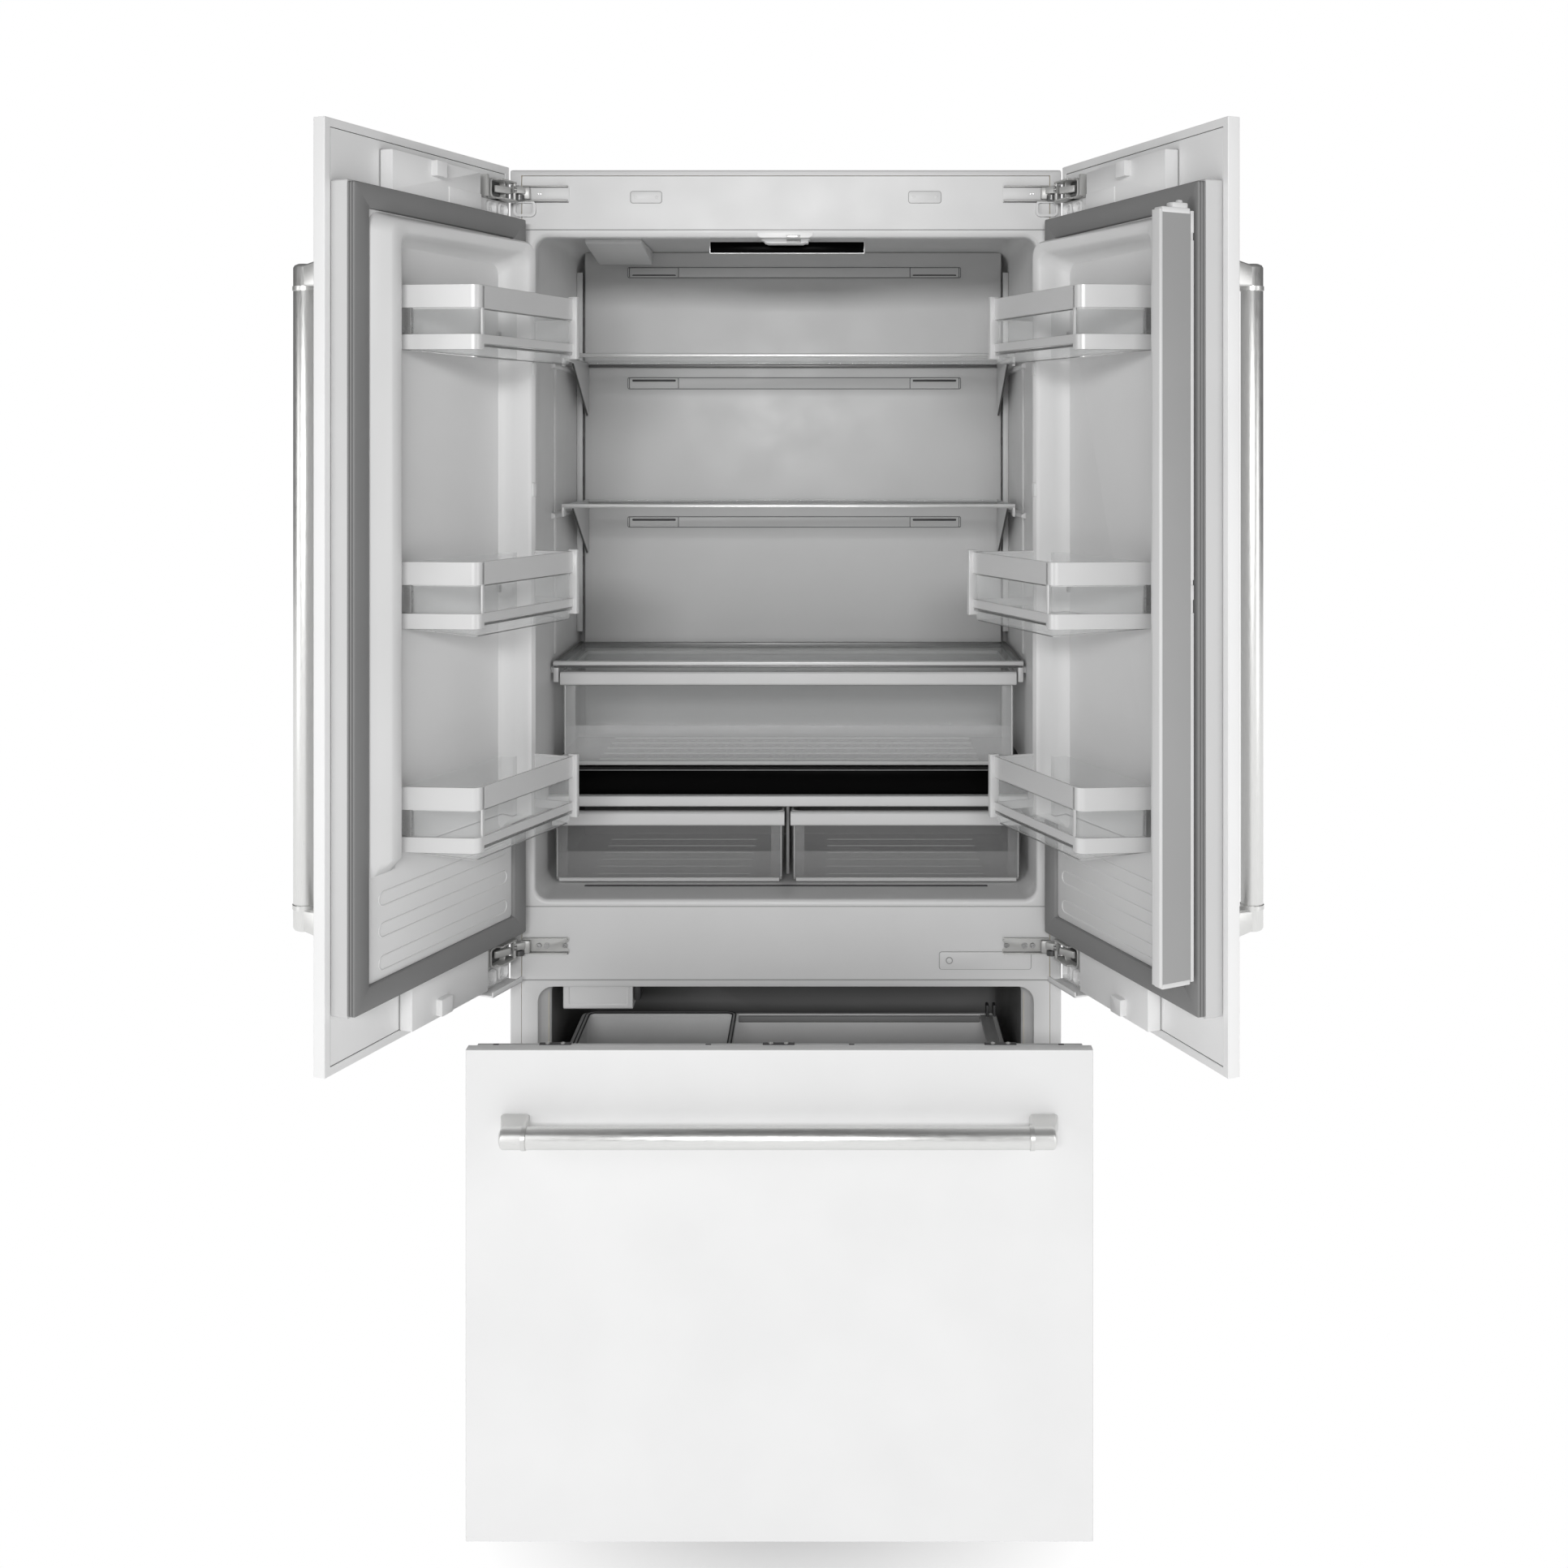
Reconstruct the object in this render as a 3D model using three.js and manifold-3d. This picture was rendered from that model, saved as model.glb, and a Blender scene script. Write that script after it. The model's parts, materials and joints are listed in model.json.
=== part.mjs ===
// French door refrigerator with a bottom freezer drawer, in millimetres, +Z up.
// Pieces are drawn in the cabinet's frame (X = 0 centre, Y = 0 cabinet front, Z = 0 floor, +Y to the back)
// and the finished group is moved so that the origin lies under the middle of the whole object.
import * as THREE from 'three';
import { mergeVertices } from 'three/addons/utils/BufferGeometryUtils.js';
import Module from 'manifold-3d';

const wasm = await Module();
wasm.setup();

// Driving dimensions
const AIR = 0.3; // gap between pieces that touch
const CABINET = { half: 446, depth: 562, bottom: 104, top: 2126, sheet: 1.2, plate: 3 };
const LIP = { side: 18, top: 9 }; // sheet folded round the cabinet's front
const BACK_SLOTS = { half: 330, bottom: 140, height: 18, pitch: 34, count: 5 };
const SEAM = { fascia: 2029, rail: 934, freezer: 815 }; // heights of the joints in the cabinet's front
const FRIDGE = { half: 406, bottom: 945, lip: 2017, ceiling: 2045, depth: 470, wall: 3 };
const NECK = { depth: 25, radius: 20 }; // narrower opening of the fridge liner
const FREEZER = { half: 384, mouth: 401, mouthDepth: 20, bottom: 150, top: 803.5, depth: 450, wall: 3 };
const STEP = { y: 350, z: 345, foam: 32 }; // machine compartment step in the freezer's back
const AIR_PANEL = { inset: 12, front: 440, thick: 24, sheet: 6 };
const PANEL = { width: 449, thick: 20, bottom: 816, top: 2130, sheet: 1.2, corner: 2.5 };
const DRAIN = { half: 60, halfWidth: 3 }; // slot in a panel's lower edge
const DOOR = { foam: 28, gasket: 12, edge: 12, bottom: 897, top: 2045, band: 33, seal: 3 };
const BLOCKS = [ // upper and lower fixing blocks of the door's foam body, each with a boss
  { s: [112, 330], z: [2044, 2104], bossS: [212, 238], bossZ: [2079, 2103] },
  { s: [92, 285], z: [828, 898], bossS: [198, 226], bossZ: [832, 857] },
];
const BLOCK = { depth: 22, boss: 32 };
// Raised border of the door liner, and the recess inside it
const DIKE = { hinge: 53, bottom: 1098, top: 2006, depth: 60, base: 34, radius: 14 };
const DIKE_FREE = { left: 395, right: 380 };
const RECESS = { hinge: 75, free: 350, top: 1975, radius: 16 };
const CLOSED = { x: -451, y: -40.5 }; // closed position of the left panel's inner hinge corner
const PIVOT = { s: 15.83, t: 20.24 }; // hinge axis, along the door's width and inwards from the panel
const DOOR_OPEN = THREE.MathUtils.degToRad(112);
const HINGE_HEIGHTS = { upper: 2087, lower: 871.5 };
const BINS = { upper: [1816, 1908], middle: [1421, 1516], lower: [1105, 1198] };
const BIN = { far: 56, near: 345, back: 36, front: 153, deepFront: 190, crest: 62, radius: 35, wall: 4 };
const HANDLE = { radius: 15.5, standoff: 55, s: 400, bottom: 988, top: 1945, drawer: 709 };
const POST = { length: 42, half: 13, taper: 10, overlap: 4 }; // the two posts of a handle
const FLIPPER = { edge: -3, width: 56, back: -5.5, front: 14, bottom: 946.5, top: 2003.5 };
const DRAWER = { half: 451, bottom: 106, top: 812, out: 236.5, bodyBottom: 125, bodyTop: 796, strip: 10 };
const BASKET = { half: 356, front: 2, back: 435, bottom: 168, rim: 692, wall: 4, stepY: 335, stepZ: 358 };
const RUNNER = { half: 371.5, bottom: 567, top: 595 };
const BRACKET = { half: 300, bottom: 260, top: 632 }; // joins the basket to the drawer's front
const ICE_BIN = { left: -350, right: -92, front: 70, back: 428, bottom: 540, rim: 697, wall: 3 };
const SHELF = { half: 388, front: 150, back: 436, thick: 12, trim: 12, side: 5, glass: 5 };
const SHELF_BRACKET = { shoulder: 120, drop: 4, rear: 14, height: 100 };
const SHELF_HEIGHTS = { upper: 1838, middle: 1580 };
const COVER_SHELF = { half: 401, front: 140, back: 436, bottom: 1299, top: 1313, trim: 16, side: 12, glass: 6 };
const COVER = { front: 124, back: 436, lower: 1072, top: 1131, plate: 6, band: 8 };
const DIVIDER = { half: 4, bottom: 956 };
const COVER_TRIM = { front: 108, back: 134, bottom: 1071, top: 1089 };
const DISPLAY = { half: 129, front: 71, back: 121, bottom: 1999, chamfer: 12, slope: 2032 };
const SENSOR = { left: -362, right: -262, front: 240, low: 2018, back: 415, sill: 2036, ledge: 15 };
const GUIDE = { half: 43, stem: 36, front: 29, back: 58, bottom: 2005, top: 2016.7 };
const ICE_MAKER = { left: -360, right: -246, front: 34, back: 330, bottom: 755, top: 803 };
const RAIL = { out: 383.7, lip: 372, web: 378, bottom: 560, top: 602, sheet: 6, front: 24, back: 440 };
const STANDARD = { width: 11, front: 424, back: 439.7, bottom: 1330, top: 2005 };
const STANDARD_SLOTS = { bottom: 1380, height: 30, pitch: 75, count: 8, edge: 3 };
const VENTS = { heights: [1994, 1787, 1527], x: 270, half: 44, height: 12 };
const FLIPPER_HINGE = { s: 428, t: 47, fold: 85 };
const KNOB = { x: 16, y: 4, radius: 5, height: 12 };
const ARM = { back: -8, reach: 347, ridge: 372, half: 13, ridgeHalf: 8, pin: 3 };
const CUP = { left: 13, right: 84, depth: 16, half: 16, ear: 3.3, hole: 3.4 };
const WIDE_DRAWER = { half: 389, front: 150, back: 430, bottom: 1132, top: 1294 };
const CRISPER = { inner: 5, outer: 394, front: 100, back: 420, bottom: 949, top: 1066 };
const FRONT_TRIM = { height: 23, proud: 12 };
const TUB_WALL = 4;
const FOOT = { radius: 22, stem: 9, pad: 6, cone: 14, top: 72, x: 400, front: 44, back: 520 };
const BASE = { half: 438, front: 24, back: 556, bottom: 60, sheet: 3, crossbar: 12 };
const BASE_OPENING = { half: 405, front: 60, back: 520 };
const GRILLE = { half: 438, front: 16, back: 22, bottom: 10 };
const GRILLE_SLOTS = { left: -396, width: 54, pitch: 67, count: 12, height: 12, rows: [34, 60] };
const COMPRESSOR = { x: 150, y: 470, baseX: 100, baseY: 70, base: 4 };
const COMPRESSOR_PROFILE = [[0, 0], [66, 0], [72, 26], [72, 96], [52, 128], [0, 132]];

// Finishes
const FINISHES = {
  white_panel: [0xededec, 0.5, 0.0],
  liner_white: [0xcfcfcf, 0.45, 0.0],
  frame_grey: [0xc4c4c4, 0.45, 0.1],
  gasket_grey: [0x858585, 0.7, 0.0],
  brushed_steel: [0xb9b9b8, 0.3, 1.0],
  hinge_nickel: [0xa8a8a6, 0.25, 1.0],
  bin_silver: [0xbdbdbd, 0.4, 0.3],
  clear_plastic: [0xc9cccd, 0.15, 0.0],
  shelf_glass: [0xb9c2c0, 0.1, 0.0],
  black_gloss: [0x0a0a0b, 0.1, 0.0],
  dark_grey: [0x3b3c3d, 0.5, 0.2],
  basket_white: [0xd8d8d8, 0.5, 0.0],
  foam: [0xe8dfb8, 0.95, 0.0],
  steel_dark: [0x2a2a2b, 0.45, 0.6],
};

// Shapes
function box(x0, x1, y0, y1, z0, z1) {
  const shape = new THREE.BoxGeometry(Math.abs(x1 - x0), y1 - y0, z1 - z0);
  return shape.translate((x0 + x1) / 2, (y0 + y1) / 2, (z0 + z1) / 2);
}

function outline(points) {
  return new THREE.Shape(points.map(([a, b]) => new THREE.Vector2(a, b)));
}

// Rectangle whose corners are rounded, given as [lower left, lower right, upper right, upper left] radii.
function roundedOutline(a0, a1, b0, b1, radii) {
  const [r0, r1, r2, r3] = radii;
  const shape = new THREE.Shape();
  shape.moveTo(a0 + r0, b0);
  shape.lineTo(a1 - r1, b0);
  if (r1) shape.absarc(a1 - r1, b0 + r1, r1, -Math.PI / 2, 0, false);
  shape.lineTo(a1, b1 - r2);
  if (r2) shape.absarc(a1 - r2, b1 - r2, r2, 0, Math.PI / 2, false);
  shape.lineTo(a0 + r3, b1);
  if (r3) shape.absarc(a0 + r3, b1 - r3, r3, Math.PI / 2, Math.PI, false);
  shape.lineTo(a0, b0 + r0);
  if (r0) shape.absarc(a0 + r0, b0 + r0, r0, Math.PI, Math.PI * 1.5, false);
  return shape;
}

// An outline swept straight along an axis: (y, z) along x, (x, z) along y or (x, y) along z.
function sweep(axis, shape, from, to, curveSegments = 3) {
  const solid = new THREE.ExtrudeGeometry(shape, { depth: to - from, bevelEnabled: false, curveSegments });
  const x = new THREE.Vector3(1, 0, 0);
  const y = new THREE.Vector3(0, 1, 0);
  const z = new THREE.Vector3(0, 0, 1);
  const place = new THREE.Matrix4();
  if (axis === 'x') place.makeBasis(y, z, x).setPosition(from, 0, 0);
  if (axis === 'y') place.makeBasis(x, z, y.negate()).setPosition(0, to, 0);
  if (axis === 'z') place.setPosition(0, 0, from);
  return solid.applyMatrix4(place);
}

// A round bar along z.
function post(x, y, radius, z0, z1, sides = 16) {
  const bar = new THREE.CylinderGeometry(radius, radius, z1 - z0, sides);
  return bar.rotateX(Math.PI / 2).translate(x, y, (z0 + z1) / 2);
}

function bare(geometry) {
  const plain = geometry.clone();
  plain.deleteAttribute('normal');
  plain.deleteAttribute('uv');
  return mergeVertices(plain, 1e-4);
}

// Booleans
function toSolid(geometry) {
  if (geometry instanceof wasm.Manifold) return geometry;
  const plain = bare(geometry);
  const vertProperties = new Float32Array(plain.attributes.position.array);
  const triVerts = new Uint32Array(plain.index.array);
  return new wasm.Manifold(new wasm.Mesh({ numProp: 3, vertProperties, triVerts }));
}

function join(...pieces) {
  return pieces.map(toSolid).reduce((whole, piece) => whole.add(piece));
}

function cut(piece, ...tools) {
  return tools.reduce((whole, tool) => whole.subtract(toSolid(tool)), toSolid(piece));
}

function toGeometry(solid) {
  const { vertProperties, triVerts, numProp } = solid.getMesh();
  const count = vertProperties.length / numProp;
  const points = new Float32Array(count * 3);
  for (let i = 0; i < count; i += 1) {
    for (let k = 0; k < 3; k += 1) points[i * 3 + k] = vertProperties[i * numProp + k];
  }
  const geometry = new THREE.BufferGeometry();
  geometry.setAttribute('position', new THREE.BufferAttribute(points, 3));
  geometry.setIndex(Array.from(triVerts));
  return geometry;
}

// The same shape on the other side of the plane x = 0.
function mirrored(geometry) {
  const flipped = bare(geometry).scale(-1, 1, 1);
  const order = flipped.index.array;
  for (let i = 0; i < order.length; i += 3) [order[i + 1], order[i + 2]] = [order[i + 2], order[i + 1]];
  return flipped;
}

function addPart(group, name, shape, finish, side = 'left') {
  const drawn = shape instanceof wasm.Manifold ? toGeometry(shape) : bare(shape);
  const geometry = side === 'right' ? mirrored(drawn) : drawn;
  geometry.computeVertexNormals();
  const [color, roughness, metalness] = FINISHES[finish];
  const mesh = new THREE.Mesh(geometry, new THREE.MeshStandardMaterial({ color, roughness, metalness }));
  mesh.name = name;
  group.add(mesh);
}

// Cabinet
function makeShell() {
  const { half, depth, bottom, top, sheet } = CABINET;
  const outside = box(-half, half, 0, depth, bottom, top);
  const inside = box(-half + sheet, half - sheet, sheet, depth - sheet, bottom + sheet, top - sheet);
  const mouth = box(-half + LIP.side, half - LIP.side, -1, sheet + 1, bottom + sheet, top - LIP.top);
  const slots = Array.from({ length: BACK_SLOTS.count }, (_, i) => {
    const low = BACK_SLOTS.bottom + i * BACK_SLOTS.pitch;
    return box(-BACK_SLOTS.half, BACK_SLOTS.half, depth - 5, depth + 5, low, low + BACK_SLOTS.height);
  });
  return cut(outside, inside, mouth, ...slots);
}

function freezerProfile(grow) {
  const { bottom, top, depth } = FREEZER;
  return outline([
    [grow ? CABINET.plate : -1, bottom - grow],
    [STEP.y + grow, bottom - grow],
    [STEP.y + grow, STEP.z - grow],
    [depth + grow, STEP.z - grow],
    [depth + grow, top + grow],
    [grow ? CABINET.plate : -1, top + grow],
  ]);
}

function freezerTub(grow) {
  const reach = FREEZER.half + grow;
  const body = sweep('x', freezerProfile(grow), -reach, reach);
  const mouthReach = FREEZER.mouth + grow;
  const front = grow ? CABINET.plate : -1;
  const back = FREEZER.mouthDepth + grow;
  return join(body, box(-mouthReach, mouthReach, front, back, FREEZER.bottom - grow, FREEZER.top + grow));
}

function fridgeTub(grow) {
  const { half, bottom, ceiling, depth } = FRIDGE;
  const front = grow ? CABINET.plate : NECK.depth;
  return box(-half - grow, half + grow, front, depth + grow, bottom - grow, ceiling + grow);
}

function makeFoam() {
  const { half, depth, bottom, top, sheet, plate } = CABINET;
  const gap = sheet + AIR;
  const block = box(-half + gap, half - gap, plate + AIR, depth - gap, bottom + gap, top - gap);
  const machine = box(-half, half, STEP.y + STEP.foam, depth, bottom, STEP.z - STEP.foam);
  return cut(block, fridgeTub(FRIDGE.wall + AIR), freezerTub(FREEZER.wall + AIR), machine);
}

function makeFridgeLiner() {
  const { half, bottom, lip, wall } = FRIDGE;
  const { depth, radius } = NECK;
  const reach = CABINET.half - LIP.side - AIR;
  const flange = box(-reach, reach, 0, CABINET.plate, SEAM.rail + AIR, SEAM.fascia - AIR);
  const neckBlock = box(-half - wall, half + wall, 0, depth + 1, bottom - wall, SEAM.fascia - AIR);
  const mouthOutline = roundedOutline(-half, half, bottom, lip, [radius, radius, radius, radius]);
  const mouth = sweep('y', mouthOutline, -1, depth + 2);
  return cut(join(flange, fridgeTub(wall), neckBlock), fridgeTub(0), mouth);
}

function makeFreezerLiner() {
  const reach = CABINET.half - LIP.side - AIR;
  const low = CABINET.bottom + CABINET.sheet + AIR;
  const flange = box(-reach, reach, 0, CABINET.plate, low, SEAM.freezer - AIR);
  return cut(join(flange, freezerTub(FREEZER.wall)), freezerTub(0));
}

function makeFrontPlate(z0, z1) {
  const reach = CABINET.half - LIP.side - AIR;
  return box(-reach, reach, 0, CABINET.plate, z0 + AIR, z1 - AIR);
}

function makeAirPanel() {
  const { inset, front, thick, sheet } = AIR_PANEL;
  const reach = FRIDGE.half - inset;
  const ductReach = reach - inset;
  const plate = box(-reach, reach, front, front + thick, FRIDGE.bottom + AIR, FRIDGE.ceiling - AIR);
  const ductTop = FRIDGE.ceiling - 20;
  const duct = box(-ductReach, ductReach, front + sheet, front + thick + 1, FRIDGE.bottom + 30, ductTop);
  const { x, half, height } = VENTS;
  const slots = VENTS.heights.flatMap((z) => [-x, x].map((at) => (
    box(at - half, at + half, front - 10, front + 10, z, z + height)
  )));
  return cut(plate, duct, ...slots);
}

function makeStandard() {
  const { width, front, back, bottom, top } = STANDARD;
  const { height, pitch, count, edge } = STANDARD_SLOTS;
  const left = -FRIDGE.half + AIR;
  const slots = Array.from({ length: count }, (_, i) => {
    const low = STANDARD_SLOTS.bottom + i * pitch;
    return box(left + edge, left + width + 1, front - 1, front + 8, low, low + height);
  });
  return cut(box(left, left + width, front, back, bottom, top), ...slots);
}

function makeShelf(top) {
  const { half, front, back, thick, side } = SHELF;
  const glass = box(-half + 4, half - 4, front + 4, back - 8, top - 1 - SHELF.glass, top - 1);
  const trimOutline = roundedOutline(front, front + SHELF.trim, top - thick, top, [3, 3, 3, 3]);
  const trim = sweep('x', trimOutline, -half, half, 2);
  const { shoulder, drop, rear, height } = SHELF_BRACKET;
  const bracket = outline([
    [front + 6, top - thick],
    [front + shoulder, top - thick - drop],
    [back - rear, top - height],
    [back, top - height],
    [back, top - 2],
    [front + 6, top - 2],
  ]);
  const sides = [-half, half - side].map((x) => sweep('x', bracket, x, x + side));
  const rearRail = box(-half, half, back - 12, back - 4, top - thick, top - 2);
  return join(glass, trim, rearRail, ...sides);
}

function makeCoverShelf() {
  const { half, front, back, bottom, top, side } = COVER_SHELF;
  const glass = box(-half + 3, half - 3, front + 3, back - 3, top - 1 - COVER_SHELF.glass, top - 1);
  const trimOutline = roundedOutline(front, front + COVER_SHELF.trim, bottom, top, [3, 3, 3, 3]);
  const trim = sweep('x', trimOutline, -half, half, 2);
  const sides = [-half, half - side].map((x) => box(x, x + side, front + 2, back, bottom, top));
  const rear = box(-half, half, back - 16, back, bottom + 2, top);
  return join(glass, trim, rear, ...sides);
}

function makeCrisperCover() {
  const reach = FRIDGE.half - AIR;
  const { front, back, lower, top, plate, band } = COVER;
  const upperPlate = box(-reach, reach, front, back, top - plate, top);
  const glass = box(-reach, reach, front, front + band, lower, top);
  const lowerPlate = box(-reach, reach, front, back, lower, lower + plate);
  const trim = box(-reach, reach, COVER_TRIM.front, COVER_TRIM.back, COVER_TRIM.bottom, COVER_TRIM.top);
  const wall = box(-DIVIDER.half, DIVIDER.half, COVER_TRIM.front + 2, back - 6, DIVIDER.bottom, lower + 2);
  return join(upperPlate, glass, lowerPlate, trim, wall);
}

function makeSensorBox() {
  const { left, right, front, low, back, sill, ledge } = SENSOR;
  const top = FRIDGE.ceiling - AIR;
  const profile = outline([[front, sill], [back - ledge, low], [back, low], [back, top], [front, top]]);
  return sweep('x', profile, left, right);
}

function makeDisplay() {
  const { half, front, back, bottom, chamfer, slope } = DISPLAY;
  const top = FRIDGE.ceiling - AIR;
  const profile = outline([
    [front, bottom],
    [front + chamfer, bottom],
    [back, slope],
    [back, top],
    [front, top],
  ]);
  return sweep('x', profile, -half, half);
}

function makeMullionGuide() {
  const { half, stem, front, back, bottom, top } = GUIDE;
  const block = sweep('z', roundedOutline(-half, half, front, back, [8, 8, 4, 4]), bottom, top);
  return join(block, box(-stem, stem, front + 4, back - 2, top - 5, FRIDGE.ceiling - AIR));
}

function makeIceMaker() {
  const { left, right, front, back, bottom, top } = ICE_MAKER;
  return sweep('x', roundedOutline(front, back, bottom, top, [5, 5, 0, 0]), left, right, 2);
}

// A channel that opens towards the drawer.
function makeFreezerRail() {
  const { out, lip, web, bottom, top, sheet, front, back } = RAIL;
  const profile = outline([
    [-out, bottom],
    [-lip, bottom],
    [-lip, bottom + sheet],
    [-web, bottom + sheet],
    [-web, top - sheet],
    [-lip, top - sheet],
    [-lip, top],
    [-out, top],
  ]);
  return sweep('y', profile, front, back);
}

function makeBaseFrame() {
  const { half, front, back, bottom, sheet, crossbar } = BASE;
  const top = CABINET.bottom - AIR;
  const outside = box(-half, half, front, back, bottom, top);
  const inside = box(-half + sheet, half - sheet, front + sheet, back - sheet, bottom - 1, top - sheet);
  const reach = BASE_OPENING.half;
  const opening = box(-reach, reach, BASE_OPENING.front, BASE_OPENING.back, bottom, top + 1);
  const crossbars = [FOOT.front, FOOT.back].map((y) => (
    box(-half + 2, half - 2, y - crossbar, y + crossbar, FOOT.top, FOOT.top + sheet)
  ));
  return join(cut(outside, inside, opening), ...crossbars);
}

function makeToeGrille() {
  const { half, front, back, bottom } = GRILLE;
  const { left, width, pitch, count, height, rows } = GRILLE_SLOTS;
  const slots = rows.flatMap((z) => Array.from({ length: count }, (_, i) => (
    box(left + i * pitch, left + i * pitch + width, front - 5, back + 5, z, z + height)
  )));
  return cut(box(-half, half, front, back, bottom, CABINET.bottom - AIR), ...slots);
}

function turned(profile, sides) {
  const points = profile.map(([r, z]) => new THREE.Vector2(r, z));
  return new THREE.LatheGeometry(points, sides).rotateX(Math.PI / 2);
}

function makeFoot() {
  const { radius, stem, pad, cone } = FOOT;
  const top = FOOT.top - AIR;
  return turned([[0, 0], [radius, 0], [radius, pad], [stem, cone], [stem, top], [0, top]], 14);
}

function makeCompressor() {
  const { baseX, baseY, base } = COMPRESSOR;
  return join(turned(COMPRESSOR_PROFILE, 20), box(-baseX, baseX, -baseY, baseY, -base, 1));
}

function makeCabinet(group) {
  addPart(group, 'cabinet_shell', makeShell(), 'frame_grey');
  addPart(group, 'insulation_foam', makeFoam(), 'foam');
  addPart(group, 'fridge_liner', makeFridgeLiner(), 'liner_white');
  addPart(group, 'freezer_liner', makeFreezerLiner(), 'liner_white');
  addPart(group, 'top_fascia', makeFrontPlate(SEAM.fascia, CABINET.top - LIP.top), 'frame_grey');
  addPart(group, 'middle_rail', makeFrontPlate(SEAM.freezer, SEAM.rail), 'frame_grey');
  addPart(group, 'base_frame', makeBaseFrame(), 'steel_dark');
  addPart(group, 'toe_grille', makeToeGrille(), 'dark_grey');
  const compressorFloor = CABINET.bottom + CABINET.sheet + COMPRESSOR.base + AIR;
  const compressor = makeCompressor().translate([COMPRESSOR.x, COMPRESSOR.y, compressorFloor]);
  addPart(group, 'compressor', compressor, 'steel_dark');
  addPart(group, 'air_panel', makeAirPanel(), 'liner_white');
  addPart(group, 'sensor_box', makeSensorBox(), 'liner_white');
  addPart(group, 'display_panel', makeDisplay(), 'black_gloss');
  addPart(group, 'mullion_guide', makeMullionGuide(), 'white_panel');
  addPart(group, 'ice_maker', makeIceMaker(), 'basket_white');
  addPart(group, 'crisper_shelf', makeCoverShelf(), 'shelf_glass');
  addPart(group, 'crisper_cover', makeCrisperCover(), 'black_gloss');
  for (const [name, top] of Object.entries(SHELF_HEIGHTS)) {
    addPart(group, `${name}_shelf`, makeShelf(top), 'shelf_glass');
  }
  for (const side of ['left', 'right']) {
    addPart(group, `${side}_shelf_standard`, makeStandard(), 'dark_grey', side);
    addPart(group, `${side}_freezer_rail`, makeFreezerRail(), 'brushed_steel', side);
    for (const [end, y] of [['front', FOOT.front], ['rear', FOOT.back]]) {
      addPart(group, `${side}_${end}_foot`, makeFoot().translate(-FOOT.x, y, 0), 'dark_grey', side);
    }
    for (const [level, z] of Object.entries(HINGE_HEIGHTS)) {
      addPart(group, `${side}_${level}_hinge_arm`, makeHingeArm(z), 'hinge_nickel', side);
    }
  }
}

// Hinges: the arm is screwed to the cabinet's front and the cup to the door, and a pin joins them.
function makeHingeArm(z) {
  const { back, reach, ridge, half, ridgeHalf, pin } = ARM;
  const px = CLOSED.x + PIVOT.s;
  const py = CLOSED.y + PIVOT.t;
  const plate = sweep('y', roundedOutline(px + 8, -reach, z - half, z + half, [2, 5, 5, 2]), back, -AIR, 2);
  const middle = box(px + 8, -ridge, back - 6, back + 4, z - ridgeHalf, z + ridgeHalf);
  const knuckle = outline([
    [px - 5, py - 3],
    [px + 3, py - 5],
    [px + 16, back - 6],
    [px + 16, back + 4],
    [px + 8, back + 4],
    [px - 4, py + 4],
  ]);
  const link = sweep('z', knuckle, z - ridgeHalf, z + ridgeHalf);
  return join(plate, middle, link, post(px, py, pin, z - CUP.half + 1, z + CUP.half - 1, 12));
}

function makeHingeCup(z) {
  const { left, right, depth, half, ear, hole } = CUP;
  const back = box(left, right, AIR, 5, z - half, z + half);
  const rim = box(left + 21, right - 12, 4, depth, z - half, z + half);
  const bowl = box(left + 25, right - 16, 7, depth + 4, z - half + 4, z + half - 4);
  const earShape = roundedOutline(PIVOT.s - 4.5, 60, 2, PIVOT.t + 4.5, [2, 2, 2, 4]);
  const ears = [z - half, z + half - ear].map((low) => sweep('z', earShape, low, low + ear, 2));
  const bore = post(PIVOT.s, PIVOT.t, hole, z - half - 4, z + half + 4, 12);
  return cut(join(back, cut(rim, bowl), ...ears), bore);
}

// Doors, drawn closed with s along x from the hinge edge and t along y inwards from the panel's back.
// A panel is a folded sheet, hollow, with a drain slot in its lower edge.
function makePanel(width, bottom, top) {
  const { thick, sheet, corner } = PANEL;
  const middle = width / 2;
  const outside = sweep('z', roundedOutline(0, width, -thick, 0, [corner, corner, 0, 0]), bottom, top, 2);
  const inside = box(sheet, width - sheet, -thick + sheet, -sheet, bottom + sheet, top - sheet);
  const drainFront = -thick / 2 - DRAIN.halfWidth;
  const drainBack = -thick / 2 + DRAIN.halfWidth;
  const drain = box(middle - DRAIN.half, middle + DRAIN.half, drainFront, drainBack, bottom - 1, bottom + 2);
  return cut(outside, inside, drain);
}

function makeDoorBody() {
  const { foam, edge, bottom, top } = DOOR;
  const slab = box(edge, PANEL.width - edge, AIR, foam, bottom, top);
  const blocks = BLOCKS.map(({ s, z }) => box(s[0], s[1], AIR, BLOCK.depth, z[0], z[1]));
  const bosses = BLOCKS.map(({ bossS, bossZ }) => (
    box(bossS[0], bossS[1], BLOCK.depth - 2, BLOCK.boss, bossZ[0], bossZ[1])
  ));
  return join(slab, ...blocks, ...bosses);
}

function makeGasket(x0, x1, z0, z1, y0, y1, band) {
  return cut(box(x0, x1, y0, y1, z0, z1), box(x0 + band, x1 - band, y0 - 1, y1 + 1, z0 + band, z1 - band));
}

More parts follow.
